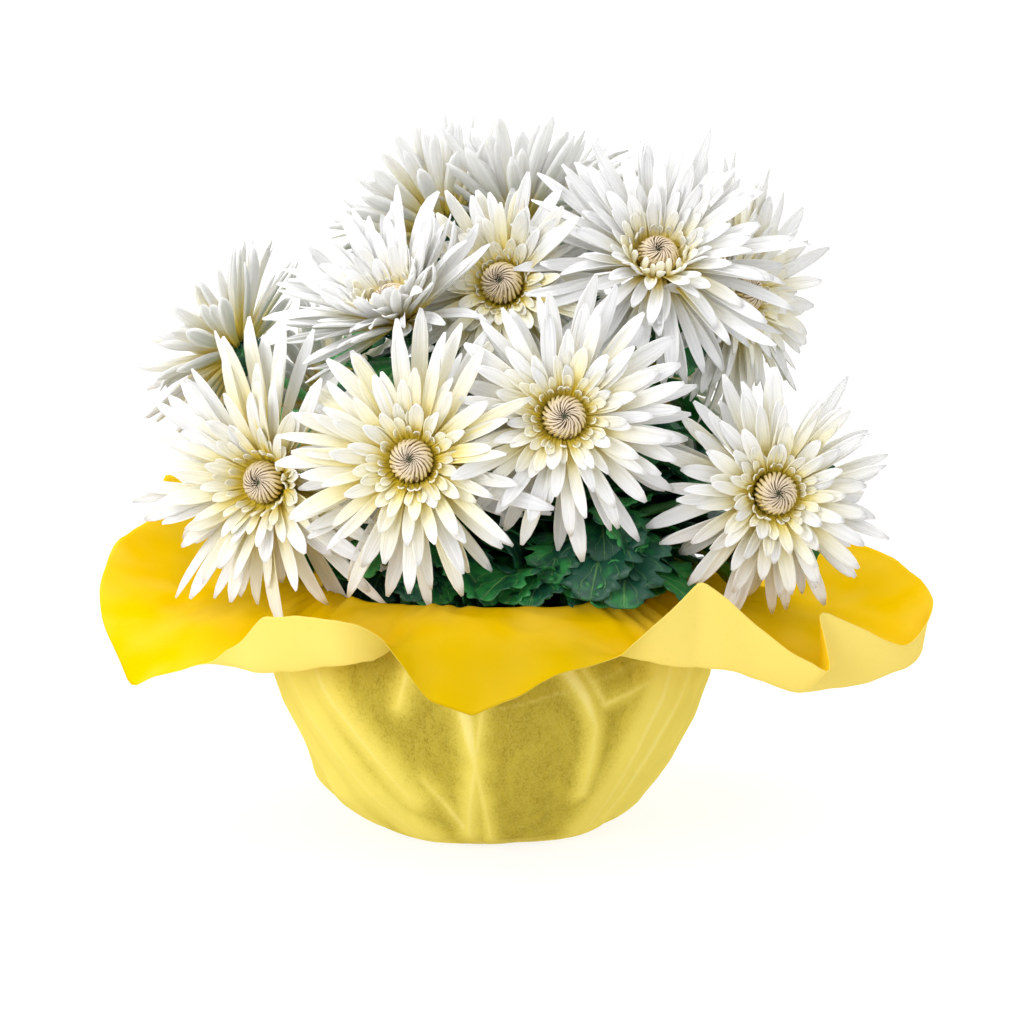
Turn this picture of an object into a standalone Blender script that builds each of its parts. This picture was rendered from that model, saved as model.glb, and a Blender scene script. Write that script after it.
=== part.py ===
"""Pot chrysanthemum: five leafy plants with white spider blooms in a plastic pot, in a yellow sheet wrap.

Units are metres, +Z is up and the viewer stands on the -Y side. The origin is under the middle of the
wrap's foot, on the surface that it stands on. Lengths in the tables are millimetres, times MM.
"""

import itertools
import math
import random

import bmesh
import bpy
import numpy as np
from mathutils import Matrix, Vector
from mathutils.bvhtree import BVHTree

MM = 0.001
GAP = 0.3 * MM  # between pieces that touch
FULL_TURN = 2 * math.pi

# The plastic pot
POT_HEIGHT = 100 * MM
POT_FOOT_RADIUS = 45 * MM
POT_RIM_RADIUS = 68 * MM
POT_LIP = 3 * MM
POT_LIP_HEIGHT = 9 * MM
POT_WALL = 1.6 * MM
POT_SIDES = 20
HOLE_SIDES = 10
DRAIN_HOLES = 4
DRAIN_RADIUS = 5 * MM
DRAIN_RING = 26 * MM

# The soil
SOIL_BELOW_RIM = 12 * MM
SOIL_CROWN = 4 * MM
HOLE_DEPTH = 26 * MM

# The wrap's sheet. Its wall goes up round the pot through these (radius, height) points to the neck.
SHEET_THICKNESS = 0.8 * MM
WRAP_SIDES = 48
WRAP_WALL = ((46, 0), (65, 16), (82, 44), (91, 72), (86, 91), (76, 101))
PLEATS = 9
PLEAT_DEPTH = 1.4 * MM
# Its collar, all round: angle from +X (degrees), reach and height of the cut edge, height of the belly.
COLLAR = (
    (2, 182, 97, 90),
    (12, 167, 109, 92),
    (21, 160, 110, 90),
    (31, 154, 94, 88),
    (44, 146, 76, 92),
    (58, 142, 82, 92),
    (72, 146, 104, 90),
    (86, 147, 118, 92),
    (100, 141, 92, 88),
    (115, 138, 74, 92),
    (130, 142, 88, 88),
    (143, 152, 118, 92),
    (155, 160, 137, 98),
    (163, 156, 123, 97),
    (172, 162, 112, 96),
    (184, 164, 100, 96),
    (201, 154, 70, 95),
    (213, 133, 84, 87),
    (225, 125, 101, 82),
    (241, 118, 108, 84),
    (253, 117, 89, 91),
    (268, 122, 71, 98),
    (279, 120, 79, 98),
    (295, 119, 92, 98),
    (304, 121, 105, 97),
    (312, 126, 119, 97),
    (324, 150, 78, 84),
    (334, 162, 96, 70),
    (345, 178, 81, 71),
    (354, 187, 88, 80),
)
BELLY_SHARE = 0.6  # how far along the collar its belly lies
NECK_SHARE = 0.28  # how far along it the bend out of the neck ends
NECK_RISE = 2.5

# The five plants: where each main stem stands in the soil (x, y) and how high it forks.
PLANTS = {
    "left": ((-34, -38), 112),
    "right": ((30, -40), 112),
    "far_right": ((36, 20), 116),
    "far_left": ((-31, 26), 116),
    "middle": ((2, 4), 124),
}
MAIN_STEM_RADIUS = 3.0 * MM
SHOOT_RADIUS = 2.1 * MM
CALYX_RADIUS = 8 * MM
CALYX_DEPTH = 8 * MM
STEM_STEPS = 6
SHOOT_LEAN = 0.35  # how much a shoot leans towards its bloom as it leaves the fork
SHOOT_EASE = 0.35  # share of its length over which it bends at each end

# Each bloom: its plant, the place of its receptacle, the way it faces (azimuth from the viewer towards +X,
# elevation, in degrees), its petals' reach and how far it is open (degrees added to their pitch).
BLOOMS = {
    "front_left": ("left", (-30, -78, 163), (-6, 14), 62, 0),
    "front_middle": ("right", (29, -74, 180), (2, 12), 60, 0),
    "front_right": ("right", (113, -54, 147), (12, 8), 57, 0),
    "low_left": ("left", (-89, -42, 150), (-26, 6), 62, -4),
    "back_right": ("far_right", (68, 66, 180), (142, 24), 50, 0),
    "back_left": ("far_left", (-72, 64, 172), (214, 20), 50, 0),
    "back_middle": ("middle", (0, 88, 196), (180, 28), 50, 0),
    "upper_left": ("far_left", (-38, -24, 217), (-40, 50), 62, -4),
    "upper_right": ("far_right", (68, -14, 236), (4, 40), 66, -12),
    "upper_middle": ("middle", (6, -18, 227), (-14, 20), 50, -6),
    "far_right": ("far_right", (102, 14, 221), (50, 12), 60, -2),
    "side_left": ("far_left", (-108, 22, 197), (-112, 30), 54, -16),
    "top_left": ("middle", (-21, 32, 250), (-125, 46), 50, -38),
    "top": ("middle", (12, 38, 250), (180, 76), 58, -44),
}

# A bloom, in its own frame: its axis is +Z and its receptacle's middle is the origin.
CORE_RADIUS = 10.5 * MM
CORE_HALF = 3.5 * MM
CORE_SIDES = 10
EYE_RADIUS = 8.8 * MM
EYE_HEIGHT = 8 * MM
EYE_RIDGES = 6
EYE_RINGS = 6
EYE_RIDGE = 0.05  # share of the radius
EYE_DIMPLE = 0.22  # share of the height
# Each whorl of petals: count, root (radius, height), pitch from the axis at root and at tip, reach as a
# share of the bloom's, and width.
WHORLS = (
    (12, (7.0, -1.4), 84, 104, 1.0, 7.6),
    (9, (7.0, 0.3), 64, 82, 0.84, 7.8),
    (5, (8.8, 1.2), 40, 22, 0.40, 6.6),
)
PETAL_KEEL = 1.5 * MM
PETAL_OUTLINE = ((0.0, 0.46), (0.70, 0.94))  # (share of length, share of width), then the tip
DROOP = 14  # degrees of pitch that weight adds to a petal that hangs, or takes from one that stands
STEEPEST_ROOT = 38  # degrees from the axis
STEM_MARKS = 36  # points along a shoot where petals are kept clear of it
# The planes tried between two blooms: how they lean and slant off the line between the blooms, and where
# they cut it. They are judged by the ways that some petals could lie, and by each bloom's body.
LEANS = (-1.6, -0.8, 0, 0.8, 1.6)
SLANTS = (-0.8, 0, 0.8)
CUTS = (0.2, 0.3, 0.4, 0.5, 0.6, 0.7, 0.8)
PROBE_TURNS = 20
PROBE_BENDS = (-32, -12, 8, 28)
BODY_RADIUS = 12.6 * MM
BODY_HALF = 12 * MM
BODY_WEIGHT = 20
BENDS = (0, 8, -8, 16, -16, 24, -24, 32, -32, 40, -40)
SHORTENINGS = (1.0, 0.92, 0.84, 0.76, 0.68, 0.6, 0.5, 0.4)
CLEARANCE = 1.7 * MM  # from a petal's edge to the boundary of its bloom
STEM_CLEARANCE = 5.0 * MM  # from a petal's line to a stem's line
COLLAR_CLEARANCE = 4.0 * MM

# A leaf's outline, lobed, from its petiole to its tip: (share of length, share of half width)
LEAF_OUTLINE = ((0.0, 0.05), (0.24, 0.10), (0.38, 0.82), (0.50, 0.46), (0.66, 1.0), (0.82, 0.46), (1.0, 0))
LEAF_HALF_WIDTH = 0.38  # share of the length
LEAF_THICKNESS = 1.8 * MM  # at the rib
# How a leaf may lie, best first: its pitch above level at root and at tip. The low ones hang over the rim.
LOW_LIES = ((40, -72), (44, -50), (28, -50), (28, -30), (14, -28), (58, -66), (66, -10))
HIGH_LIES = ((34, -46), (50, -20), (10, -66), (62, 12), (0, -80))
LEAF_SHARES = (1.0, 0.9, 0.8, 0.7, 0.6)
LEAF_SWINGS = (0, 18, -18, 40, -40, 70, -70)  # degrees that a leaf may turn aside
# Where leaves grow: shares of a shoot's length, and (share of height, turn from outwards) on a main stem.
LEAVES_ON_SHOOT = (0.16, 0.46, 0.74)
LEAVES_ON_MAIN = (
    (0.20, 16),
    (0.32, -40),
    (0.44, 46),
    (0.56, -76),
    (0.68, 80),
    (0.80, -16),
    (0.88, 112),
    (0.95, -112),
)
LOW_LEAF = 90 * MM
HIGH_LEAF = (72 * MM, 50 * MM)  # at the foot and at the top of a shoot
LEAF_SPREAD = 5.5 * MM  # how far a leaf's length may differ
GUARD_ABOVE = 0.8 * MM  # the clear space kept round a leaf
GUARD_UNDER = 2.4 * MM
GUARD_WIDER = 0.04
GOLDEN_TURN = math.radians(137.5)


def new_object(name, mesh, material=None):
    """An object holding the mesh, in the scene."""
    made = bpy.data.objects.new(name, mesh)
    bpy.context.scene.collection.objects.link(made)
    if material:
        mesh.materials.append(material)
    return made


def mesh_of(build, name):
    """The finished mesh of a bmesh, with its faces pointing out."""
    build.normal_update()
    bmesh.ops.recalc_face_normals(build, faces=build.faces)
    mesh = bpy.data.meshes.new(name)
    build.to_mesh(mesh)
    build.free()
    return mesh


def material_of(name, colour, roughness):
    """A Principled material."""
    made = bpy.data.materials.new(name)
    made.use_nodes = True
    shader = made.node_tree.nodes["Principled BSDF"]
    shader.inputs["Base Color"].default_value = (*colour, 1)
    shader.inputs["Roughness"].default_value = roughness
    shader.inputs["Metallic"].default_value = 0
    return made


def loft(rings):
    """A bmesh tube through rings of as many points each. A last ring of one point closes it to a tip."""
    build = bmesh.new()
    rows = [[build.verts.new(point) for point in ring] for ring in rings]
    for low, high in zip(rows, rows[1:]):
        for i in range(len(low)):
            j = (i + 1) % len(low)
            if len(high) == 1:
                build.faces.new((low[i], low[j], high[0]))
            else:
                build.faces.new((low[i], low[j], high[j], high[i]))
    build.faces.new(list(reversed(rows[0])))
    if len(rows[-1]) > 1:
        build.faces.new(rows[-1])
    return build


def turned(profile, sides):
    """A bmesh solid of revolution about Z of a (radius, height) profile whose ends lie on the axis."""
    build = bmesh.new()
    line = [build.verts.new((radius, 0, height)) for radius, height in profile]
    edges = [build.edges.new(pair) for pair in zip(line, line[1:])]
    bmesh.ops.spin(
        build,
        geom=line + edges,
        cent=(0, 0, 0),
        axis=(0, 0, 1),
        angle=FULL_TURN,
        steps=sides,
        use_merge=True,
    )
    bmesh.ops.remove_doubles(build, verts=build.verts, dist=1e-6)
    return build


def boolean(target, others, operation):
    """Applies one Boolean of the target with a collection of the others, which are then removed."""
    group = bpy.data.collections.new("group_" + target.name)
    bpy.context.scene.collection.children.link(group)
    for other in others:
        bpy.context.scene.collection.objects.unlink(other)
        group.objects.link(other)
    modifier = target.modifiers.new("join", "BOOLEAN")
    modifier.operation = operation
    modifier.operand_type = "COLLECTION"
    modifier.collection = group
    modifier.solver = "MANIFOLD" if operation == "UNION" else "EXACT"
    bpy.context.view_layer.update()
    graph = bpy.context.evaluated_depsgraph_get()
    joined = bpy.data.meshes.new_from_object(target.evaluated_get(graph))
    target.modifiers.clear()
    target.data = joined
    for other in others:
        bpy.data.objects.remove(other)
    bpy.data.collections.remove(group)
    return target


def tree_of(obj):
    """The object's surface, with its modifiers, for tests of crossing."""
    bpy.context.view_layer.update()
    return BVHTree.FromObject(obj, bpy.context.evaluated_depsgraph_get())


# The wrap


def periodic(rows, angle):
    """The values of the collar's table at an angle, on a smooth closed curve through its rows."""
    count = len(rows)
    after = next((i for i, row in enumerate(rows) if row[0] > angle), count)
    picked = [rows[(after + k) % count] for k in (-2, -1, 0, 1)]
    starts = [row[0] for row in picked]
    span = (starts[2] - starts[1]) % 360
    t = ((angle - starts[1]) % 360) / span
    values = []
    for column in range(1, len(rows[0])):
        a, b, c, d = (row[column] for row in picked)
        curve = 2 * b + (c - a) * t + (2 * a - 5 * b + 4 * c - d) * t**2 + (3 * b - a - 3 * c + d) * t**3
        values.append(curve / 2)
    return values


def wrap_stations(angle):
    """The sheet's (radius, height) points at an angle in degrees, from its foot to its cut edge."""
    reach, edge, belly = periodic(COLLAR, angle % 360)
    neck_radius, neck_height = WRAP_WALL[-1]
    pleat = math.cos(math.radians(angle) * PLEATS)
    wall = [(r * MM + pleat * PLEAT_DEPTH, z * MM) for r, z in WRAP_WALL[1:-1]]
    wall = [(WRAP_WALL[0][0] * MM, 0), *wall, (neck_radius * MM, neck_height * MM)]
    near = (neck_radius + NECK_SHARE * (reach - neck_radius), (neck_height + belly) / 2 + NECK_RISE)
    middle = (neck_radius + BELLY_SHARE * (reach - neck_radius), belly)
    return wall + [(r * MM, z * MM) for r, z in (near, middle, (reach, edge))]


def collar_height(x, y):
    """How high the collar stands over a point of the floor, or None past its edge or inside its neck."""
    radius = math.hypot(x, y)
    stations = wrap_stations(math.degrees(math.atan2(y, x)))[len(WRAP_WALL) - 1 :]
    for (r0, z0), (r1, z1) in zip(stations, stations[1:]):
        if r0 <= radius <= r1:
            return z0 + (z1 - z0) * (radius - r0) / (r1 - r0)
    return None


def build_wrap(material):
    """The sheet: a flat foot, a pleated wall and a waved collar, as one thin shell."""
    build = bmesh.new()
    start = WRAP_WALL[0][0] * MM
    bmesh.ops.create_circle(build, cap_ends=True, segments=WRAP_SIDES, radius=start)
    ring = build.edges[:]
    for step in range(1, len(WRAP_WALL) + 3):
        made = bmesh.ops.extrude_edge_only(build, edges=ring)["geom"]
        ring = [item for item in made if isinstance(item, bmesh.types.BMEdge)]
        for vertex in [item for item in made if isinstance(item, bmesh.types.BMVert)]:
            angle = math.atan2(vertex.co.y, vertex.co.x)
            radius, height = wrap_stations(math.degrees(angle))[step]
            vertex.co = (radius * math.cos(angle), radius * math.sin(angle), height)
    wrap = new_object("wrap", mesh_of(build, "wrap"), material)
    if wrap.data.polygons[0].normal.z > 0:
        wrap.data.flip_normals()
    solidify = wrap.modifiers.new("thickness", "SOLIDIFY")
    solidify.thickness = SHEET_THICKNESS
    solidify.offset = -1
    solidify.use_even_offset = True
    wrap.data.shade_smooth()
    return wrap


# The pot and the soil


def build_pot(material):
    """The pot, with its lip and drain holes, just above the wrap's floor."""
    foot = SHEET_THICKNESS + GAP
    lip_foot = foot + POT_HEIGHT - POT_LIP_HEIGHT
    top = foot + POT_HEIGHT
    profile = (
        (0, foot),
        (POT_FOOT_RADIUS, foot),
        (POT_RIM_RADIUS, lip_foot),
        (POT_RIM_RADIUS + POT_LIP, lip_foot),
        (POT_RIM_RADIUS + POT_LIP, top),
        (POT_RIM_RADIUS + POT_LIP - POT_WALL, top),
        (POT_RIM_RADIUS - POT_WALL, lip_foot + POT_WALL),
        (POT_FOOT_RADIUS - POT_WALL, foot + POT_WALL),
        (0, foot + POT_WALL),
    )
    pot = new_object("pot", mesh_of(turned(profile, POT_SIDES), "pot"), material)
    cutters = []
    for i in range(DRAIN_HOLES):
        turn = (i + 0.5) * FULL_TURN / DRAIN_HOLES
        place = Vector((DRAIN_RING * math.cos(turn), DRAIN_RING * math.sin(turn), foot))
        build = bmesh.new()
        bmesh.ops.create_cone(
            build,
            cap_ends=True,
            segments=HOLE_SIDES,
            radius1=DRAIN_RADIUS,
            radius2=DRAIN_RADIUS,
            depth=6 * POT_WALL,
            matrix=Matrix.Translation(place),
        )
        cutters.append(new_object("drain", mesh_of(build, "drain")))
    return boolean(pot, cutters, "DIFFERENCE")


def soil_top(radius):
    """Height of the soil at a distance from the pot's axis: a low crown."""
    rim = SHEET_THICKNESS + GAP + POT_HEIGHT - SOIL_BELOW_RIM
    return rim + SOIL_CROWN * (1 - (radius / POT_RIM_RADIUS) ** 2)


def build_soil(material):
    """The soil, clear of the pot's wall, with a plain hole for each main stem."""
    floor = SHEET_THICKNESS + GAP + POT_WALL + GAP
    foot_radius = POT_FOOT_RADIUS - POT_WALL - 2 * GAP
    slope = (POT_RIM_RADIUS - POT_FOOT_RADIUS) / (POT_HEIGHT - POT_LIP_HEIGHT)
    side = soil_top(POT_RIM_RADIUS)
    top_radius = foot_radius + slope * (side - floor)
    profile = [(0, floor), (foot_radius, floor), (top_radius, soil_top(top_radius))]
    profile += [(top_radius * share, soil_top(top_radius * share)) for share in (0.75, 0.45)]
    profile.append((0, soil_top(0)))
    soil = new_object("soil", mesh_of(turned(profile, POT_SIDES), "soil"), material)
    cutters = []
    for (x, y), _ in PLANTS.values():
        top = soil_top(math.hypot(x, y) * MM)
        build = bmesh.new()
        bmesh.ops.create_cone(
            build,
            cap_ends=True,
            segments=HOLE_SIDES,
            radius1=MAIN_STEM_RADIUS + 2 * GAP,
            radius2=MAIN_STEM_RADIUS + 2 * GAP,
            depth=2 * HOLE_DEPTH,
            matrix=Matrix.Translation((x * MM, y * MM, top)),
        )
        cutters.append(new_object("hole", mesh_of(build, "hole")))
    return boolean(soil, cutters, "DIFFERENCE")


# Stems


def facing(azimuth, elevation):
    """The unit vector that a bloom faces, from its azimuth from the viewer and its elevation."""
    turn, rise = math.radians(azimuth), math.radians(elevation)
    return Vector((math.sin(turn) * math.cos(rise), -math.cos(turn) * math.cos(rise), math.sin(rise)))


class Bloom:
    """One bloom's place and frame, worked out from its row of the table."""

    def __init__(self, name):
        plant, place, angles, reach, opening = BLOOMS[name]
        self.name = name
        self.plant = plant
        self.opening = opening
        self.planes = []
        self.centre = Vector(place) * MM
        self.axis = facing(*angles)
        self.reach = reach * MM
        self.calyx_top = self.centre - self.axis * (CORE_HALF + GAP)
        across = self.axis.cross(Vector((0, 0, 1))).normalized()
        self.frame = Matrix((across, self.axis.cross(across), self.axis)).transposed()

    def place(self, point):
        """A point of the bloom's own frame, in the part's."""
        return self.centre + self.frame @ point


def fork_of(plant):
    """Where a plant's main stem forks into its shoots."""
    (x, y), fork = PLANTS[plant]
    return Vector((x, y, fork)) * MM


def shoot_point(bloom, t):
    """A point of the shoot's line, from the fork at 0 to the calyx's top at 1."""
    start = fork_of(bloom.plant)
    end = bloom.calyx_top
    length = (end - start).length
    outward = Vector((end.x - start.x, end.y - start.y, 0)) * SHOOT_LEAN
    leave = (Vector((0, 0, length)) + outward).normalized()
    one = start + leave * length * SHOOT_EASE
    two = end - bloom.axis * length * SHOOT_EASE
    s = 1 - t
    return start * s**3 + one * (3 * s * s * t) + two * (3 * s * t * t) + end * t**3


def tube(name, points, radii, material):
    """A round stem along points, each with its own radius, as a mesh with filled ends."""
    curve = bpy.data.curves.new(name, "CURVE")
    curve.dimensions = "3D"
    curve.bevel_depth = 1.0
    curve.bevel_resolution = 1
    curve.use_fill_caps = True
    spline = curve.splines.new("POLY")
    spline.points.add(len(points) - 1)
    for knot, place, radius in zip(spline.points, points, radii):
        knot.co = (*place, 1)
        knot.radius = radius
    guide = new_object(name, curve)
    bpy.context.view_layer.update()
    graph = bpy.context.evaluated_depsgraph_get()
    mesh = bpy.data.meshes.new_from_object(guide.evaluated_get(graph))
    bpy.data.objects.remove(guide)
    build = bmesh.new()
    build.from_mesh(mesh)
    bmesh.ops.remove_doubles(build, verts=build.verts, dist=1e-6)
    return new_object(name, mesh_of(build, name), material)


def shoot(bloom, material):
    """The stem from the fork to the bloom, which flares into the calyx under it."""
    shares = [i / STEM_STEPS for i in range(STEM_STEPS)]
    points = [shoot_point(bloom, t) for t in shares]
    radii = [SHOOT_RADIUS] * STEM_STEPS
    for depth, share in ((1, 0.3), (0.3, 0.9), (0, 0.97)):
        points.append(bloom.calyx_top - bloom.axis * CALYX_DEPTH * depth)
        radii.append(CALYX_RADIUS * share)
    return tube("shoot_" + bloom.name, points, radii, material)


def main_stem(plant, material):
    """The short stem from its hole in the soil to the fork."""
    fork = fork_of(plant)
    foot = soil_top(math.hypot(fork.x, fork.y)) - HOLE_DEPTH + GAP
    heights = (foot, (foot + fork.z) / 2, fork.z, fork.z + 1.5 * MAIN_STEM_RADIUS)
    points = [Vector((fork.x, fork.y, height)) for height in heights]
    radii = [MAIN_STEM_RADIUS, MAIN_STEM_RADIUS, MAIN_STEM_RADIUS, 0.7 * MAIN_STEM_RADIUS]
    return tube("main_" + plant, points, radii, material)


# Petals


def whorl_pitches(bloom, turn, low, high, share):
    """A whorl's pitches at a turn, with the bloom's opening and the petal's weight."""
    radial = bloom.frame @ Vector((math.cos(turn), math.sin(turn), 0))
    change = share * (bloom.opening - DROOP * radial.z)
    return low + 0.6 * change, high + change


def around(count):
    """Unit vectors evenly round a bloom's axis, with their turns."""
    turns = [FULL_TURN * i / count for i in range(count)]
    return [(turn, Vector((math.cos(turn), math.sin(turn), 0))) for turn in turns]


def probes(bloom):
    """Points on the ways that a bloom's long petals could lie, [turn, way, station, xyz], and on its body."""
    _, root, low, high, _, _ = WHORLS[0]
    ways = []
    for turn, _ in around(PROBE_TURNS):
        pitches = whorl_pitches(bloom, turn, low, high, 1)
        lines = [petal_line(root, turn, bent(pitches, bend), 0.9 * bloom.reach, 4) for bend in PROBE_BENDS]
        ways.append([[bloom.place(point) for point, _ in line[2::2]] for line in lines])
    rises = (Vector((0, 0, -BODY_HALF)), Vector((0, 0, BODY_HALF)))
    body = [bloom.place(radial * BODY_RADIUS + rise) for _, radial in around(4) for rise in rises]
    return np.array(ways), np.array(body)


def overshoot(points, middle, normal):
    """How far each point lies past a plane, or too close to it."""
    return np.maximum((points - np.array(middle)) @ np.array(normal) + CLEARANCE, 0)


def boundary(first, second):
    """The plane between two blooms that costs their petals least: a point, and the normal to the second."""
    gap = second.centre - first.centre
    along = gap.normalized()
    out = first.axis + second.axis
    out = (out - along * out.dot(along)).normalized()
    across = along.cross(out)
    sets = (probes(first), probes(second))
    best = None
    for lean, slant, share in itertools.product(LEANS, SLANTS, CUTS):
        normal = (along + out * lean + across * slant).normalized()
        middle = first.centre + gap * share
        cost = 0.0
        for (ways, body), side in zip(sets, (normal, -normal)):
            cost += overshoot(ways, middle, side).sum(axis=2).min(axis=1).sum()
            cost += BODY_WEIGHT * overshoot(body, middle, side).sum()
        if best is None or cost < best[0] - 1e-6:
            best = (cost, middle, normal)
    return best[1:]


def bound(blooms):
    """Gives each bloom the planes that close in its petals, each with its normal pointing out of it."""
    for i, first in enumerate(blooms):
        for second in blooms[i + 1 :]:
            if (second.centre - first.centre).length < first.reach + second.reach:
                middle, normal = boundary(first, second)
                first.planes.append((middle, normal))
                second.planes.append((middle, -normal))


def petal_line(root, turn, pitches, length, steps):
    """Points and upper normals along a petal's rib, in the bloom's frame, its pitch changing evenly."""
    radial = Vector((math.cos(turn), math.sin(turn), 0))
    up = Vector((0, 0, 1))
    point = radial * root[0] * MM + up * root[1] * MM
    line = []
    for i in range(steps + 1):
        pitch = math.radians(pitches[0] + (pitches[1] - pitches[0]) * i / steps)
        forward = radial * math.sin(pitch) + up * math.cos(pitch)
        normal = up * math.sin(pitch) - radial * math.cos(pitch)
        line.append((point.copy(), normal))
        point += forward * (length / steps)
    return line


def petal_is_clear(bloom, line, width, stems):
    """Whether a petal stays on its own side of each boundary, off the stems and over the collar."""
    for i, (point, _) in enumerate(line[1:], 1):
        place = bloom.place(point)
        half = width / 2 if i < len(line) - 1 else 0
        for middle, normal in bloom.planes:
            flat = math.sqrt(max(0.0, 1 - bloom.axis.dot(normal) ** 2))
            if (place - middle).dot(normal) > -CLEARANCE - half * flat:
                return False
        if any((place - knot).length < STEM_CLEARANCE for knot in stems):
            return False
        floor = collar_height(place.x, place.y)
        if floor is not None and place.z < floor + COLLAR_CLEARANCE:
            return False
    return True


def bent(pitches, bend):
    """The pitches of a petal bent by some degrees, less at its root, where it stays clear of the eye."""
    return max(STEEPEST_ROOT, pitches[0] + 0.6 * bend), pitches[1] + 1.2 * bend


def fitted_petal(bloom, root, turn, pitches, length, width, stems):
    """The petal bent and shortened as little as clears its neighbours: (pitches, length), or None."""
    tries = [(abs(bend) / 40 + 2.4 * (1 - share), bend, share) for bend in BENDS for share in SHORTENINGS]
    for _, bend, share in sorted(tries):
        line = petal_line(root, turn, bent(pitches, bend), length * share, 6)
        if petal_is_clear(bloom, line, width, stems):
            return bent(pitches, bend), length * share
    return None


def petal_solid(bloom, root, turn, pitches, length, width):
    """A keeled petal with three sides, from its root inside the receptacle to its tip."""
    side = Vector((-math.sin(turn), math.cos(turn), 0))
    steps = 12
    line = petal_line(root, turn, pitches, length, steps)
    rings = []
    for share, wide in PETAL_OUTLINE:
        point, normal = line[round(share * steps)]
        half = side * (width * wide / 2)
        keel = normal * (PETAL_KEEL * (0.6 + 0.4 * wide))
        rings.append([bloom.place(p) for p in (point - half, point + half, point - keel)])
    tip, normal = line[-1]
    rings.append([bloom.place(tip - normal * PETAL_KEEL / 2)])
    return loft(rings)


def stem_knots(bloom, blooms):
    """Points close together along the shoots and main stems that a bloom's petals have to miss."""
    knots = []
    for other in blooms:
        last = 0.86 if other is bloom else 1.0
        knots += [shoot_point(other, last * i / STEM_MARKS) for i in range(STEM_MARKS + 1)]
    near = bloom.reach + 10 * MM
    return [knot for knot in knots if (knot - bloom.centre).length < near]


def build_petals(bloom, blooms, material):
    """The receptacle and the whorls of petals that stand out of it, as one body."""
    draw = random.Random("petals " + bloom.name)
    build = bmesh.new()
    bmesh.ops.create_cone(
        build,
        cap_ends=True,
        segments=CORE_SIDES,
        radius1=0.85 * CORE_RADIUS,
        radius2=CORE_RADIUS,
        depth=2 * CORE_HALF,
    )
    build.transform(Matrix.Translation(bloom.centre) @ bloom.frame.to_4x4())
    core = new_object("petals_" + bloom.name, mesh_of(build, "core"), material)
    stems = stem_knots(bloom, blooms)
    petals = []
    for whorl, (count, root, low, high, share, width) in enumerate(WHORLS):
        for i in range(count):
            turn = FULL_TURN * (i + 0.37 * whorl + draw.uniform(-0.14, 0.14)) / count
            bends = draw.uniform(-3, 3), draw.uniform(-7, 7)
            pitches = whorl_pitches(bloom, turn, low + bends[0], high + bends[1], share)
            length = (bloom.reach * share - root[0] * MM) * draw.uniform(0.9, 1.02)
            fitted = fitted_petal(bloom, root, turn, pitches, length, width * MM, stems)
            if fitted:
                solid = petal_solid(bloom, root, turn, *fitted, width * MM)
                petals.append(new_object("petal", mesh_of(solid, "petal")))
    return boolean(core, petals, "UNION")


def build_eye(bloom, material):
    """The bud of young florets in the bloom's middle: a ridged dome that rests on the receptacle."""
    build = bmesh.new()
    bmesh.ops.create_uvsphere(build, u_segments=2 * EYE_RIDGES, v_segments=EYE_RINGS, radius=EYE_RADIUS)
    geometry = build.verts[:] + build.edges[:] + build.faces[:]
    cut = bmesh.ops.bisect_plane(build, geom=geometry, plane_no=(0, 0, -1), clear_outer=True)
    bmesh.ops.edgeloop_fill(build, edges=[e for e in cut["geom_cut"] if isinstance(e, bmesh.types.BMEdge)])
    for vertex in build.verts:
        radius = math.hypot(vertex.co.x, vertex.co.y)
        ridge = 1 - EYE_RIDGE / 2 + EYE_RIDGE * math.cos(EYE_RIDGES * math.atan2(vertex.co.y, vertex.co.x))
        dimple = EYE_DIMPLE * max(0, 1 - 2 * radius / EYE_RADIUS)
        vertex.co.x *= ridge
        vertex.co.y *= ridge
        vertex.co.z *= EYE_HEIGHT / EYE_RADIUS * (1 - dimple)
    seat = bloom.centre + bloom.axis * (CORE_HALF + GAP)
    build.transform(Matrix.Translation(seat) @ bloom.frame.to_4x4())
    eye = new_object("eye_" + bloom.name, mesh_of(build, "eye"), material)
    eye.data.shade_smooth()
    return eye


# Leaves


def leaf_line(root, heading, pitches, length, steps):
    """Points and upper normals along a leaf's rib, its pitch above level changing evenly."""
    level = Vector((math.cos(heading), math.sin(heading), 0))
    up = Vector((0, 0, 1))
    point = root.copy()
    line = []
    for i in range(steps + 1):
        pitch = math.radians(pitches[0] + (pitches[1] - pitches[0]) * i / steps)
        line.append((point.copy(), up * math.cos(pitch) - level * math.sin(pitch)))
        point += (level * math.cos(pitch) + up * math.sin(pitch)) * (length / steps)
    return line


def leaf_rows(root, heading, pitches, length):
    """Left edge, rib and right edge of the leaf's upper face at each station, and its normal."""
    side = Vector((-math.sin(heading), math.cos(heading), 0))
    steps = 50
    line = leaf_line(root, heading, pitches, length, steps)
    rows = []
    for share, wide in LEAF_OUTLINE:
        point, normal = line[round(share * steps)]
        half = side * LEAF_HALF_WIDTH * length * wide
        rows.append(((point - half, point, point + half), normal))
    return rows


def leaf_solid(rows):
    """A thin lobed blade with its petiole, from its rows. The last one is its tip."""
    rings = [(left, right, rib - normal * LEAF_THICKNESS) for (left, rib, right), normal in rows[:-1]]
    (_, tip, _), normal = rows[-1]
    return loft(rings + [[tip - normal * LEAF_THICKNESS / 2]])


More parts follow.
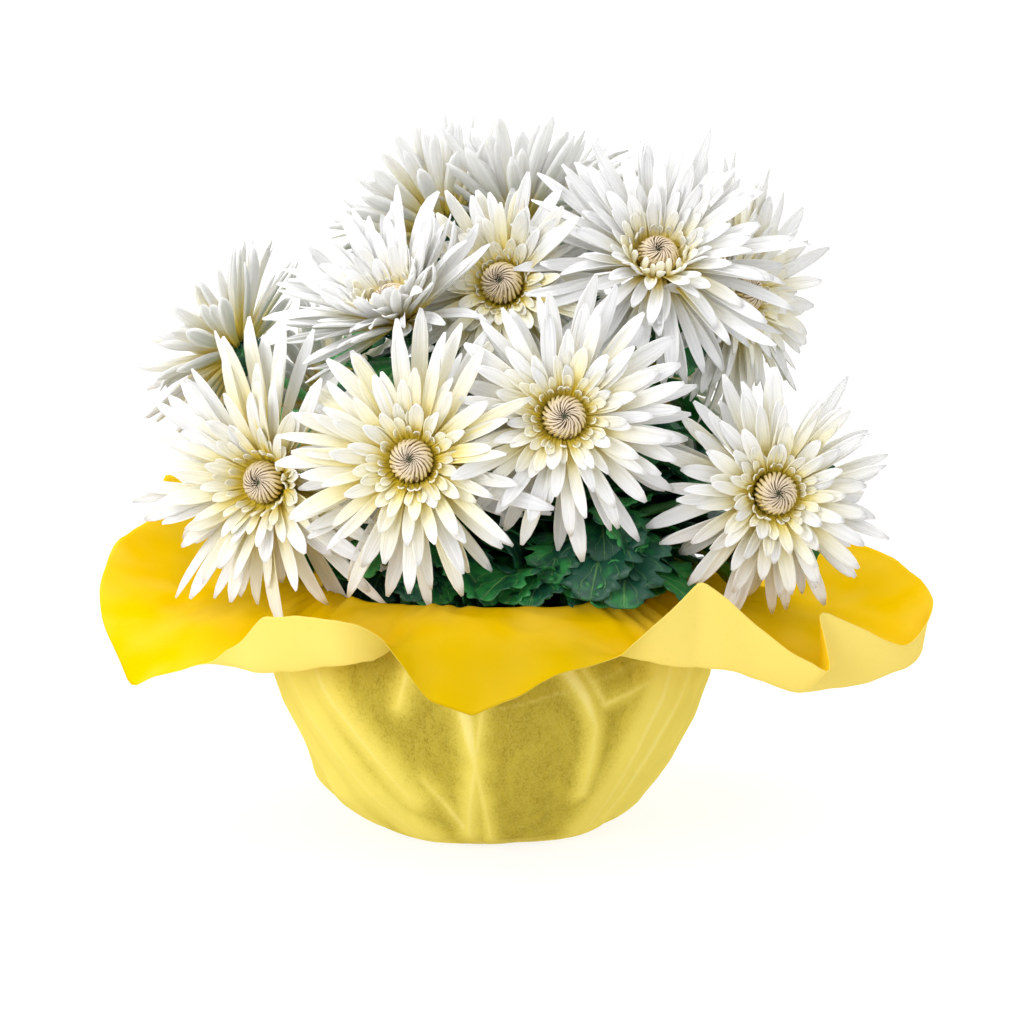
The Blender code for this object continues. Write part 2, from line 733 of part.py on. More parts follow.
def leaf_guard(rows):
    """A box round the leaf, a little larger than it is, for tests of crossing."""
    points, faces = [], []
    for (left, rib, right), normal in rows:
        above, under = normal * GUARD_ABOVE, normal * GUARD_UNDER
        wider = (right - left) * GUARD_WIDER
        points += [left - wider + above, rib + above, right + wider + above]
        points += [left - wider - under, rib - under, right + wider - under]
    for row in range(len(rows) - 1):
        a = 6 * row
        for left, right in ((0, 1), (1, 2), (3, 4), (4, 5), (0, 3), (2, 5)):
            faces.append((a + left, a + right, a + right + 6, a + left + 6))
    return BVHTree.FromPolygons(points, faces)


def leaf_is_clear(rows, trees, own):
    """Whether the leaf crosses none of the trees, nor its blade its own plant's stems."""
    whole, blade = leaf_guard(rows), leaf_guard(rows[1:])
    return not any(whole.overlap(tree) for tree in trees) and not any(blade.overlap(tree) for tree in own)


def leaf_choices(heading, length, lies):
    """The headings, pitches and lengths that a leaf may have, best first."""
    choices = []
    for share in LEAF_SHARES:
        for rank, pitches in enumerate(lies):
            for swing in LEAF_SWINGS:
                cost = 2.4 * (1 - share) + 0.12 * rank + abs(swing) / 45
                choices.append((cost, heading + math.radians(swing), pitches, length * share))
    return [choice[1:] for choice in sorted(choices)]


def leaf_slots(plant, blooms):
    """Where leaves grow on a plant, in a spiral up each stem: root, heading, full length and lies."""
    draw = random.Random("leaves " + plant)
    fork = fork_of(plant)
    foot = soil_top(math.hypot(fork.x, fork.y))
    outwards = math.atan2(fork.y, fork.x)
    slots = []
    for share, turn in LEAVES_ON_MAIN:
        root = Vector((fork.x, fork.y, foot + (fork.z - foot) * share))
        length = LOW_LEAF + draw.uniform(-LEAF_SPREAD, LEAF_SPREAD)
        slots.append((root, outwards + math.radians(turn), length, LOW_LIES))
    for bloom in (b for b in blooms if b.plant == plant):
        turn = math.atan2(bloom.centre.y - fork.y, bloom.centre.x - fork.x) + draw.uniform(-0.5, 0.5)
        for share in LEAVES_ON_SHOOT:
            length = HIGH_LEAF[0] + (HIGH_LEAF[1] - HIGH_LEAF[0]) * share
            length += draw.uniform(-LEAF_SPREAD, LEAF_SPREAD)
            slots.append((shoot_point(bloom, share), turn, length, HIGH_LIES))
            turn += GOLDEN_TURN
    return slots


def grow_leaves(plant, blooms, stems, trees):
    """One plant's leaves, each where it is clear of the trees, which they then join."""
    own = [tree_of(stem) for stem in stems[plant]]
    others = [tree_of(stem) for name in PLANTS if name != plant for stem in stems[name]]
    leaves = []
    for root, heading, length, lies in leaf_slots(plant, blooms):
        for choice in leaf_choices(heading, length, lies):
            rows = leaf_rows(root, *choice)
            if leaf_is_clear(rows, trees + others, own):
                leaves.append(new_object("leaf", mesh_of(leaf_solid(rows), "leaf")))
                trees.append(tree_of(leaves[-1]))
                break
    return leaves


def build():
    """Builds the whole part: wrap, pot, soil, blooms, and the plants round them."""
    for obj in list(bpy.data.objects):
        bpy.data.objects.remove(obj)
    white = material_of("white_petal", (0.86, 0.86, 0.80), 0.55)
    tan = material_of("young_floret", (0.62, 0.50, 0.30), 0.7)
    green = material_of("leaf_green", (0.02, 0.12, 0.05), 0.5)
    yellow = material_of("yellow_sheet", (0.85, 0.62, 0.03), 0.8)
    dark = material_of("pot_plastic", (0.05, 0.045, 0.04), 0.45)
    earth = material_of("soil", (0.035, 0.022, 0.014), 0.95)

    blooms = [Bloom(name) for name in BLOOMS]
    bound(blooms)
    fixed = [build_wrap(yellow), build_pot(dark), build_soil(earth)]
    for bloom in blooms:
        fixed += [build_petals(bloom, blooms, white), build_eye(bloom, tan)]
    trees = [tree_of(obj) for obj in fixed]
    stems = {}
    for plant in PLANTS:
        shoots = [shoot(bloom, green) for bloom in blooms if bloom.plant == plant]
        stems[plant] = [main_stem(plant, green), *shoots]
    leaves = {plant: grow_leaves(plant, blooms, stems, trees) for plant in PLANTS}
    for plant, (main, *shoots) in stems.items():
        boolean(main, shoots + leaves[plant], "UNION").name = "plant_" + plant


build()
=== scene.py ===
"""The looks of a pot chrysanthemum: petals, florets, stems, leaves, soil, pot and sheet wrap.

Units are metres, +Z is up and the viewer stands on the -Y side. Places come from the packed frame.
Lengths in the tables are millimetres, times MM, and angles are degrees.
"""

import itertools
import math
import random

import bmesh
import bpy
import numpy as np
from mathutils import Matrix, Quaternion, Vector, noise
from mathutils.bvhtree import BVHTree


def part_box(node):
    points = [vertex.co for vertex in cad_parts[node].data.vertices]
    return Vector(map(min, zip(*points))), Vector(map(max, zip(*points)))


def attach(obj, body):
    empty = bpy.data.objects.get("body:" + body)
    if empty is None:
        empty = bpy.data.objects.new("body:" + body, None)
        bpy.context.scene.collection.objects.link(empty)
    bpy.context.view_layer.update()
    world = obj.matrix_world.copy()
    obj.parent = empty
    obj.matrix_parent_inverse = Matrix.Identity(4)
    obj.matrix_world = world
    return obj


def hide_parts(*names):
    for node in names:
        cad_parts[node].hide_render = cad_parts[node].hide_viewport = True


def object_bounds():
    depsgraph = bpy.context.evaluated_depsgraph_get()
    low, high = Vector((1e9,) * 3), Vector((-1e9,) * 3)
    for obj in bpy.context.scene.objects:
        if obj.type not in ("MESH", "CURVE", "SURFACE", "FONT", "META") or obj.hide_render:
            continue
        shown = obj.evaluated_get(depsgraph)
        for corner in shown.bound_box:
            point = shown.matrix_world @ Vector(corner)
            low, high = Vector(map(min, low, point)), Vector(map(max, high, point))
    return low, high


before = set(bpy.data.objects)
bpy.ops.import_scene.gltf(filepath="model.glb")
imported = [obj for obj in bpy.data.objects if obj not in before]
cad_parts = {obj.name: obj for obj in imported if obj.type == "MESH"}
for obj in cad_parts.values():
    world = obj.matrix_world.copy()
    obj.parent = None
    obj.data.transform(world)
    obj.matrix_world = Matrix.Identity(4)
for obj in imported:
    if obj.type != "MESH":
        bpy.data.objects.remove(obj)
CAD_BOX = [list(corner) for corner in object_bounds()]

bl_info = {
    "name": "Pot Chrysanthemum",
    "version": (1, 0, 0),
    "blender": (4, 5, 0),
    "location": "3D View > Sidebar > Chrysanthemum",
    "description": "Dresses a pot chrysanthemum in its sheet wrap with petals, leaves and finishes",
    "category": "Object",
}

MM = 0.001
FULL_TURN = 2 * math.pi
UP = Vector((0, 0, 1))

# Each bloom: its plant, how far it is open and how much its petals droop (both added to their pitch),
# how far its inner petals close over the eye from below, how warm its petals' colour is and how long
# they are
BLOOMS = {
    "front_middle": ("right", 0, 14, 0, 0.42, 1.00),
    "front_left": ("left", 0, 14, 6, 0.66, 1.02),
    "front_right": ("right", 0, 16, 14, 0.52, 1.00),
    "upper_right": ("far_right", -14, 34, 46, 0.16, 1.00),
    "upper_middle": ("middle", -6, 14, 0, 0.66, 1.00),
    "upper_left": ("far_left", -46, 8, 62, 0.14, 1.00),
    "low_left": ("left", -4, 14, 16, 0.58, 1.14),
    "far_right": ("far_right", -2, 14, 10, 0.50, 1.00),
    "side_left": ("far_left", -16, 10, 0, 0.48, 1.04),
    "top_left": ("middle", -44, 8, 0, 0.44, 1.14),
    "top": ("middle", -44, 6, 0, 0.10, 1.26),
    "back_right": ("far_right", 0, 14, 0, 0.45, 1.00),
    "back_left": ("far_left", 0, 14, 0, 0.40, 1.00),
    "back_middle": ("middle", 0, 14, 0, 0.45, 1.00),
}
# How high each plant's main stem forks
FORKS = {"left": 112, "right": 112, "far_right": 116, "far_left": 116, "middle": 124}

# Each whorl of petals: count, root (radius, height), pitch from the bloom's axis at root and at tip,
# reach as a share of the bloom's, width, and whether the petals end in a spoon
WHORLS = (
    (12, (7.8, -2.8), 98, 113, 0.92, 6.4, False),
    (14, (7.6, -1.8), 88, 103, 1.00, 6.4, False),
    (15, (7.4, -0.8), 79, 95, 0.98, 6.2, False),
    (16, (7.4, 0.2), 70, 88, 0.90, 6.2, False),
    (17, (7.4, 1.0), 62, 80, 0.77, 6.0, False),
    (17, (7.8, 1.6), 55, 71, 0.62, 5.8, False),
    (16, (8.2, 2.0), 46, 58, 0.48, 5.2, False),
    (16, (8.9, 2.3), 42, 48, 0.38, 4.1, True),
    (17, (9.4, 2.7), 32, 14, 0.30, 3.3, True),
)
WHORL_TURN = 0.41  # how far each whorl is turned from the one below, in petals
LAST_OPEN = 4  # the last whorl, counted from 0, that doesn't close over the eye
TUCK_GROWTH = 0.012  # how much longer a petal is for each degree that it is tucked
# How petals vary: turn in petals, pitch at root and tip, sway, roll and curl in degrees, length and width
# as shares, and tone
TURN_SPREAD = 0.30
PITCH_SPREAD = (6, 12)
SWAY_SPREAD, ROLL_SPREAD, CURL_SPREAD = 15, 36, 20
LENGTH_SPREAD = (0.74, 1.0)
WIDTH_SPREAD = (0.74, 1.14)
TONE_SPREAD = 0.16
PETAL_ACROSS = 4
PETAL_ALONG = 10
PETAL_STRIP = 6  # stretches of the coarse strip that stands for a petal in tests of crossing
STEEPEST_ROOT = 30
BENDS = (0, 7, -7, 14, -14, 22, -22, 32, -32)
SWINGS = (0, 7, -7)
SHORTENINGS = (1.0, 0.86, 0.72, 0.58, 0.44)
# What a petal's bend, swing and shortening cost
TRY_COSTS = (1 / 32, 1 / 18, 2.2)
NEAR_BLOOMS = 140 * MM  # how far apart two blooms may still touch
RECEPTACLE = (9.4, 5.2, 3.0)  # its radius, depth and height over the bloom's centre
COLLAR_CLEARANCE = 2.5 * MM

# A bloom's middle
CORE_HALF = 3.5 * MM  # half the receptacle's height in the packed model
CORE_GAP = 0.3 * MM
# Each ring of florets on the eye: count, radius at root and tip, rise over the seat at root and tip, width
EYE_RINGS = (
    (24, 7.5, 3.6, 0.2, 7.2, 1.9),
    (21, 6.3, 2.4, 3.6, 7.8, 1.6),
    (16, 4.6, 1.5, 5.8, 7.4, 1.3),
    (9, 2.8, 0.8, 6.2, 6.2, 1.0),
)
EYE_DOME = (7.2, 5.6)  # the radius and height of the dome under them
EYE_SWIRL = 38
FLORET_THICKNESS = 0.25 * MM

# The calyx: rings of bracts (count, root depth, length, width, pitch from the stem at root and at tip)
CALYX_RADIUS = 8 * MM
CALYX_DEPTH = 8 * MM
BRACTS = ((12, 7.4, 8.6, 3.6, 62, 16), (13, 5.6, 8.0, 3.8, 46, 8), (14, 3.4, 6.6, 3.6, 30, 10))

# Stems
MAIN_STEM_RADIUS = 3.0 * MM
SHOOT_RADIUS = 2.1 * MM
SHOOT_LEAN = 0.35
SHOOT_EASE = 0.35
STEM_SIDES = 10
STEM_STEPS = 16

# Leaves
LEAF_ACROSS = 6
LEAF_ALONG = 40
PETIOLE_SHARE = 0.2
# The notches between a leaf's lobes: place along the leaf, depth, half length
LEAF_NOTCHES = ((0.36, 0.34, 0.034), (0.54, 0.36, 0.036), (0.71, 0.32, 0.032), (0.85, 0.22, 0.026))
LEAF_TEETH = 11
LEAF_HALF_WIDTH = 0.36
LEAF_MIDDLE = 0.5  # the share of its width in which a leaf keeps clear of others
LEAF_MARGINS = (-2 * MM, 2 * MM)  # room that it leaves to the petals under it and over it
LOW_LIES = ((40, -72), (44, -50), (28, -50), (28, -30), (14, -28), (58, -66), (66, -10), (80, 10))
HIGH_LIES = ((34, -46), (50, -20), (10, -66), (62, 12), (0, -80), (-20, -60))
LEAF_SHARES = (1.0, 0.88, 0.76, 0.64, 0.52)
LEAF_SWINGS = (0, 18, -18, 40, -40, 70, -70)
# Leaves that hang behind the front blooms and over the pot's rim, by plant or by the bloom whose shoot
# they are on: how far up its stem, heading from +X and length
FRONT_LEAVES = {
    "left": (
        (1.00, 272, 88), (0.98, 306, 84), (0.95, 254, 84), (0.80, 226, 84), (0.90, 296, 78),
        (0.70, 246, 76), (0.60, 280, 74), (0.75, 200, 82),
    ),
    "right": (
        (1.00, 250, 88), (0.95, 268, 86), (0.85, 296, 86), (0.90, 230, 80), (0.70, 278, 76),
        (0.75, 322, 84), (0.60, 246, 72), (0.55, 306, 76),
    ),
    "front_left": (
        (0.20, 225, 70), (0.22, 315, 70), (0.42, 190, 60), (0.45, 350, 60),
    ),
    "front_middle": (
        (0.18, 228, 74), (0.22, 306, 74), (0.38, 200, 62), (0.40, 340, 62), (0.55, 255, 54),
    ),
    "front_right": (
        (0.22, 300, 78), (0.40, 265, 70), (0.55, 330, 66), (0.72, 290, 58), (0.80, 30, 58),
    ),
    "low_left": (
        (0.35, 250, 66), (0.60, 290, 56),
    ),
}
FRONT_LIES = (
    (56, -80), (44, -74), (64, -62), (30, -80), (70, -84), (50, -50), (10, -78), (30, -30), (-20, -80),
)
FRONT_SWINGS = (0, 12, -12, 26, -26)
# Leaves whose tips rest on the sheet's neck: the plant, then the angle and reach of each tip
HANGING_LEAVES = {
    "left": (
        (246, 76), (262, 76), (230, 76), (278, 76), (214, 78), (254, 70), (238, 70), (270, 70), (222, 72),
        (286, 72), (200, 78), (250, 84), (266, 84), (234, 84), (290, 80),
    ),
    "right": (
        (254, 74), (268, 76), (282, 76), (296, 78), (262, 70), (276, 70), (290, 72), (337, 142),
        (344, 150), (330, 124), (340, 128), (350, 138), (325, 112), (346, 118), (335, 112), (356, 128),
        (320, 104), (352, 106), (280, 97), (292, 94), (304, 95), (316, 94), (328, 92), (274, 90),
        (286, 88), (298, 86), (310, 86), (322, 84), (338, 96), (348, 100),
    ),
    "far_right": (
        (348, 128), (356, 136), (342, 120), (350, 112), (338, 108), (4, 124), (0, 108), (334, 118),
        (345, 140),
    ),
}
# A hanging leaf's pitch at root and at tip, its shortest, best and longest length, how far over the sheet
# its tip may end, and where on a shoot it may grow
HANGING_LOW = (75, 65, 55, 45, 35, 25, 15, 5, -10, -25)
HANGING_HIGH = (-90, -80, -70, -60, -50, -40)
HANGING_LENGTHS = (30 * MM, 62 * MM, 92 * MM)
HANGING_GAP = 3 * MM
HANGING_MISS = (-0.5 * MM, 14 * MM)
HANGING_SHARES = (0.12, 0.20, 0.28, 0.36, 0.44, 0.52, 0.60, 0.68)
# Where leaves grow on a shoot, how many on a main stem, and their lengths (on shoots, from low to high)
LEAVES_ON_SHOOT = (0.10, 0.24, 0.38, 0.52, 0.66, 0.80)
LEAVES_ON_MAIN = 15
LOW_LEAF = 86 * MM
HIGH_LEAF = (70 * MM, 46 * MM)
GOLDEN_TURN = 137.5

# The wrap's sheet: its wall's radius and height from its foot to its neck, and rows of mesh up each stretch
WALL = ((0, 0), (46, 0), (65, 16), (82, 44), (91, 72), (86, 92), (76, 104))
SHOULDER_SHARE = 0.28
ROWS = (3, 14, 22, 20, 13, 10, 8, 15, 14)
SHEET_SIDES = 384
FINER_IN_FRONT = 20  # how far the mesh is drawn together towards the front, in degrees
# Its collar round it: angle from +X, reach and height of its cut edge, then of the belly below it
COLLAR = (
    (3, 185, 98, 150, 89), (8, 177, 105, 140, 91), (14, 169, 109, 134, 92), (21, 160, 110, 128, 90),
    (27, 157, 101, 127, 89), (34, 154, 86, 125, 91), (43, 146, 75, 119, 93), (51, 141, 78, 116, 92),
    (60, 142, 84, 116, 91), (68, 147, 101, 120, 89), (77, 145, 112, 119, 90), (86, 149, 120, 121, 92),
    (91, 146, 108, 119, 90), (98, 141, 93, 116, 88), (107, 137, 78, 113, 91), (115, 139, 72, 114, 92),
    (124, 140, 80, 115, 89), (132, 143, 90, 117, 88), (139, 149, 108, 122, 90), (146, 153, 124, 125, 94),
    (155, 160, 138, 128, 99), (158, 156, 129, 126, 98), (163, 155, 121, 126, 97), (172, 163, 113, 129, 96),
    (177, 163, 108, 129, 96), (184, 164, 100, 129, 96), (191, 163, 90, 128, 95), (197, 159, 78, 125, 93),
    (201, 156, 67, 123, 92), (204, 150, 72, 121, 90), (209, 139, 77, 118, 85), (214, 133, 83, 122, 80),
    (220, 128, 93, 122, 79), (225, 126, 103, 118, 80), (233, 123, 105, 113, 83), (244, 118, 104, 107, 87),
    (249, 116, 99, 102, 93), (253, 116, 89, 100, 97), (259, 118, 75, 102, 98), (267, 121, 70, 103, 98),
    (273, 121, 76, 103, 98), (282, 121, 86, 104, 97), (289, 120, 89, 106, 95), (295, 121, 92, 110, 91),
    (303, 123, 105, 117, 87), (311, 126, 119, 122, 84), (314, 131, 113, 126, 83), (318, 138, 103, 131, 81),
    (323, 151, 88, 137, 75), (327, 161, 79, 142, 70), (329, 157, 86, 143, 69), (333, 147, 102, 145, 69),
    (337, 157, 96, 155, 69), (340, 166, 89, 162, 69), (344, 175, 83, 170, 73), (348, 180, 86, 175, 75),
    (353, 184, 90, 172, 80), (358, 186, 94, 162, 86),
)
# Folds pressed into the wall: how far they stand out, how wide, then points of their line (angle,
# height, half width of the band where the sheet lies double, whose paleness is painted light)
FOLDS = (
    (3.4, 14, ((-99, 98, 2.6), (-96, 64, 2.0), (-94, 42, 0.4), (-98, 8, 0.2))),
    (3.0, 11, ((-89, 98, 0.4), (-92, 64, 0.3), (-94, 42, 0.3), (-90, 6, 0.1))),
    (3.0, 13, ((-109, 97, 0.5), (-111, 77, 0.5), (-113, 66, 0.1))),
    (3.6, 22, ((-142, 92, 0.3), (-135, 69, 0.7), (-125, 46, 0.5), (-116, 24, 0.2))),
    (2.6, 16, ((-110, 34, 0.1), (-104, 22, 0.4), (-100, 12, 0.6))),
    (4.2, 22, ((-156, 88, 0.2), (-144, 56, 0.3), (-132, 26, 0.2), (-118, 4, 0.1))),
    (3.6, 18, ((-172, 96, 0.2), (-162, 60, 0.3), (-150, 20, 0.2))),
    (2.4, 9, ((-133, 99, 0.4), (-122, 91, 0.1))),
    (3.4, 12, ((-80, 99, 2.2), (-71, 82, 2.0), (-66, 70, 1.4), (-62, 57, 0.3), (-60, 26, 0.1))),
    (2.6, 12, ((-70, 90, 0.3), (-60, 66, 0.5), (-44, 74, 0.1))),
    (4.2, 22, ((-38, 88, 0.3), (-42, 66, 0.9), (-46, 46, 0.6), (-50, 8, 0.2))),
    (3.4, 14, ((-24, 95, 0.4), (-31, 72, 0.5), (-38, 46, 0.9), (-42, 10, 0.3))),
    (2.6, 12, ((-46, 96, 0.3), (-36, 76, 0.4), (-28, 64, 0.1))),
    (3.0, 14, ((-14, 94, 0.3), (-20, 66, 0.4), (-24, 40, 0.1))),
    (0.9, 10, ((-89, 66, 0.1), (-70, 73, 0.3), (-48, 82, 0.1))),
)
# Folds out of the camera's view, drawn with a seed between these angles
HIDDEN_FOLDS = 15
HIDDEN_SPAN = (-12, 190)
# At the wall's left and right sides it is painted paler, with little of the pot's painted shade: cosines of
# the angle from +X
PAINTED_LIGHT_SIDES = (0.60, 0.82)
# Where the collar's front lobe hangs before the pot and is painted darker: cosines of the angle from
# straight ahead
LOBE_SPAN = (0.84, 0.95)
# A bulge low on the wall's left: how far it stands out, its height and half height
LOW_BULGE = (5.0, 15, 10)
# Gathers round the neck, how deep they are, and how deep the wrinkles all over
GATHERS = 37
GATHER_DEPTH = 1.1
WRINKLE = 1.3

# The soil: its mesh, how high its middle is crowned, its radius at the pot's floor, then the scale and
# height of its lumps and how far they are sunk
SOIL_GRID = 84
SOIL_CROWN = 4 * MM
SOIL_FOOT = 42.8 * MM
SOIL_LUMPS = ((170, 1.4), (520, 0.9), (1300, 0.4))
SOIL_SINK = 1.2

# Light that leaves through a petal and through the sheet: its share and colour
PETAL_GLOW = (0.26, (0.99, 0.98, 0.86))
SHEET_GLOW = (0.34, (1.0, 0.80, 0.012))
# Alpha of the wall's outer and inner face where it lies against the pot
WALL_ALPHA = (0.46, 0.30)

# Stage: the floor's radius, the radius from which it fades, its sides, the lights' places and sizes, and the
# exposure
FLOOR_RADIUS = 0.5
FLOOR_FADE = 0.10
FLOOR_SIDES = 96
KEY_LIGHT = (Vector((-0.35, 0.1, 1.7)), 1.1)
SIDE_LIGHT = (Vector((-0.9, -1.2, 0.6)), 0.8)
EXPOSURE = 0.05

# The photograph's view
TARGET = Vector((8.82, 0, 130.9)) * MM
VIEW_DISTANCE = 1.3
VIEW_ELEVATION = 9
IMAGE_SIDE = 1024
PIXEL = 0.42 * MM
SENSOR = 36


# Settings


def colour_property(name, description, default):
    """A colour that the sidebar shows."""
    return bpy.props.FloatVectorProperty(
        name=name, description=description, default=default, size=3, min=0, max=1, subtype="COLOR"
    )


def length_property(name, description, default):
    """A length that the sidebar shows in the scene's units."""
    return bpy.props.FloatProperty(
        name=name, description=description, default=default, min=0, unit="LENGTH", precision=5
    )


class PetalSettings(bpy.types.PropertyGroup):
    """Colours and thickness of the petals."""

    white: colour_property("White", "The petals' outer part", (0.92, 0.92, 0.935))
    # The grey of the painted shade in the petals' channels and towards their tips; the veins are drawn in it
    # too
    shade_grey: colour_property("Cool grey", "The shade of the petals' backs and tips", (0.72, 0.73, 0.80))
    cream: colour_property("Cream", "The petals' inner part", (0.95, 0.87, 0.48))
    yellow: colour_property("Yellow", "The petals' roots", (0.97, 0.74, 0.02))
    thickness: length_property("Thickness", "How thick a petal is", 0.35 * MM)


class FloretSettings(bpy.types.PropertyGroup):
    """Colours of the young florets in a bloom's middle."""

    # The dark of the painted shade in the grooves between the florets
    tan: colour_property("Tan", "The florets' grooves", (0.17, 0.10, 0.03))
    pale: colour_property("Pale", "The florets' backs", (0.68, 0.57, 0.43))
    green: colour_property("Green", "The middle of the eye", (0.08, 0.12, 0.04))


class FoliageSettings(bpy.types.PropertyGroup):
    """Colours and thickness of the leaves and stems."""

    dark: colour_property("Dark green", "The leaves' ground colour", (0.006, 0.066, 0.034))
    bright: colour_property("Bright green", "Patches beside the veins", (0.035, 0.30, 0.055))
    vein: colour_property("Vein", "The leaves' veins", (0.16, 0.34, 0.10))
    stem: colour_property("Stem", "Stems and bracts", (0.05, 0.13, 0.04))
    thickness: length_property("Leaf thickness", "How thick a leaf is", 0.5 * MM)


class SheetSettings(bpy.types.PropertyGroup):
    """Colours, thickness and cut size of the wrap's sheet."""

    inside: colour_property("Inside", "The sheet's inner face", (0.79, 0.515, 0.0))
    outside: colour_property("Outside", "The sheet's outer face", (0.90, 0.79, 0.20))
    wall: colour_property("Wall", "The sheet's wall round the pot", (0.98, 0.86, 0.13))
    # Also the painted light where the wall stands clear of the pot and at its left and right sides
    fold: colour_property("Fold", "Where the sheet lies double", (0.97, 0.90, 0.36))
    # Painted shade on the collar where it hangs before the pot
    lobe: colour_property("Lobe", "The collar where it hangs before the pot", (0.40, 0.285, 0.0))
    # Painted shade of the pot behind the wall; the collar's dark fibres are drawn in it too
    shadow: colour_property("Shadow", "Where the sheet lies against the pot", (0.46, 0.36, 0.035))
    # Painted shade of the pot, in specks between the fibres
    shade_speck: colour_property("Specks", "Dark specks between the fibres on the pot", (0.24, 0.18, 0.035))
    thickness: length_property("Thickness", "How thick the sheet is", 0.3 * MM)
    side: length_property("Side", "Width and length that the sheet was cut to", 0.42)
    area: bpy.props.FloatProperty(
        name="Area", description="The cut's flat area, with its corners rounded", default=0.15, unit="AREA"
    )


class GroundSettings(bpy.types.PropertyGroup):
    """Colours of the pot and the soil."""

    pot: colour_property("Pot", "The pot's plastic", (0.060, 0.055, 0.046))
    soil: colour_property("Soil", "Dark crumbs of the soil", (0.030, 0.018, 0.011))
    bark: colour_property("Bark", "Paler bits in the soil", (0.16, 0.10, 0.06))


class StageSettings(bpy.types.PropertyGroup):
    """Floor and lights."""

    floor: colour_property("Floor", "The floor's colour", (0.24, 0.24, 0.24))
    glow: bpy.props.FloatProperty(name="Floor glow", description="Light that the floor gives", default=0.76)
    surround: bpy.props.FloatProperty(name="Surround", description="Brightness all round", default=1.10)
    key: bpy.props.FloatProperty(
        name="Key light", description="Power of the soft light above", default=20, unit="POWER"
    )
    side: bpy.props.FloatProperty(
        name="Side light", description="Power of the soft light from the left", default=10, unit="POWER"
    )


SETTINGS = {
    "mum_petals": PetalSettings,
    "mum_florets": FloretSettings,
    "mum_foliage": FoliageSettings,
    "mum_sheet": SheetSettings,
    "mum_ground": GroundSettings,
    "mum_stage": StageSettings,
}


# Shader maths


class Wire:
    """A shader socket that Python's operators work on, each as a Math node."""

    def __init__(self, finish, socket):
        self.finish = finish
        self.socket = socket

    def __add__(self, other):
        return self.finish.math("ADD", self, other)

    def __sub__(self, other):
        return self.finish.math("SUBTRACT", self, other)

    def __rsub__(self, other):
        return self.finish.math("SUBTRACT", other, self)

    def __mul__(self, other):
        return self.finish.math("MULTIPLY", self, other)

    def __truediv__(self, other):
        return self.finish.math("DIVIDE", self, other)

    def __rtruediv__(self, other):
        return self.finish.math("DIVIDE", other, self)

    __radd__ = __add__
    __rmul__ = __mul__


class Finish:
    """A material, built node by node round its Principled shader."""

    def __init__(self, name):
        self.material = bpy.data.materials.new(name)
        self.material.use_nodes = True
        self.tree = self.material.node_tree
        self.shader = self.tree.nodes["Principled BSDF"]
        self.output = self.tree.nodes["Material Output"]

    def node(self, kind, settings=None, inputs=(), out=0):
        """Adds a node with its settings, which are set first, and the values or wires of its inputs."""
        made = self.tree.nodes.new(kind)
        for key, value in (settings or {}).items():
            setattr(made, key, value)
        for key, value in inputs.items() if isinstance(inputs, dict) else enumerate(inputs):
            self.feed(made.inputs[key], value)
        return Wire(self, made.outputs[out])

    def feed(self, socket, value):
        """Sets a socket to a value, or links a wire to it."""
        if isinstance(value, Wire):
            self.tree.links.new(value.socket, socket)
        elif socket.type == "RGBA" and len(value) == 3:
            socket.default_value = (*value, 1)
        else:
            socket.default_value = value

    def set(self, **values):
        """Sets sockets of the Principled shader, by their names with _ for each space."""
        for key, value in values.items():
            self.feed(self.shader.inputs[key.replace("_", " ")], value)

    def math(self, operation, *values):
        """A Math node on these values."""
        return self.node("ShaderNodeMath", {"operation": operation}, values)

    def place(self):
        """The object's own coordinates, which are the part's."""
        return self.node("ShaderNodeTexCoord", out="Object")

    def across_and_along(self):
        """Wires of the blade's own map: across it from 0 to 1, and along it from root to tip."""
        blade_map = self.node("ShaderNodeUVMap", {"uv_map": "blade"})
        split = self.node("ShaderNodeSeparateXYZ", None, [blade_map])
        return split, Wire(self, split.socket.node.outputs[1])

    def off_rib(self, across):
        """How far out from a blade's rib: 0 there and 1 at its edges."""
        return self.math("ABSOLUTE", across - 0.5) * 2

    def mark(self, name):
        """One of the marks that the piece's points hold."""
        return self.node("ShaderNodeAttribute", {"attribute_name": name}, out="Fac")

    def noise(self, vector, scale, detail=2.0, roughness=0.5):
        """Soft noise from 0 to 1."""
        inputs = {"Vector": vector, "Scale": scale, "Detail": detail, "Roughness": roughness}
        return self.node("ShaderNodeTexNoise", None, inputs)

    def ease(self, value, start, end, low=0.0, high=1.0):
        """The value's smooth step from one number to another."""
        names = {"Value": value, "From Min": start, "From Max": end, "To Min": low, "To Max": high}
        return self.node("ShaderNodeMapRange", {"interpolation_type": "SMOOTHSTEP"}, names)

    def mix(self, share, first, second):
        """Two colours, mixed."""
        settings = {"data_type": "RGBA", "clamp_factor": True}
        return self.node("ShaderNodeMix", settings, {0: share, 6: first, 7: second}, out=2)

    def bump(self, height, strength, distance):
        """Sets the shader's normal from a height."""
        inputs = {"Height": height, "Strength": strength, "Distance": distance}
        self.set(Normal=self.node("ShaderNodeBump", None, inputs))

    def glow_through(self, share, colour):
        """Lets a share of the light through, in a colour."""
        leak = self.node("ShaderNodeBsdfTranslucent", None, {"Color": colour})
        mixed = self.node("ShaderNodeMixShader", None, {0: share, 2: leak})
        self.tree.links.new(self.shader.outputs[0], mixed.socket.node.inputs[1])
        self.feed(self.output.inputs["Surface"], mixed)


def settings_of(name):
    """One of the scene's groups of settings."""
    return getattr(bpy.context.scene, name)


# Shapes


def smooth(value, start, end):
    """A smooth step from 0 at the start to 1 at the end, for numbers and arrays."""
    share = np.clip((value - start) / (end - start), 0, 1)
    return share * share * (3 - 2 * share)


def level(angle):
    """The level direction at an angle from +X."""
    return Vector((math.cos(angle), math.sin(angle), 0))


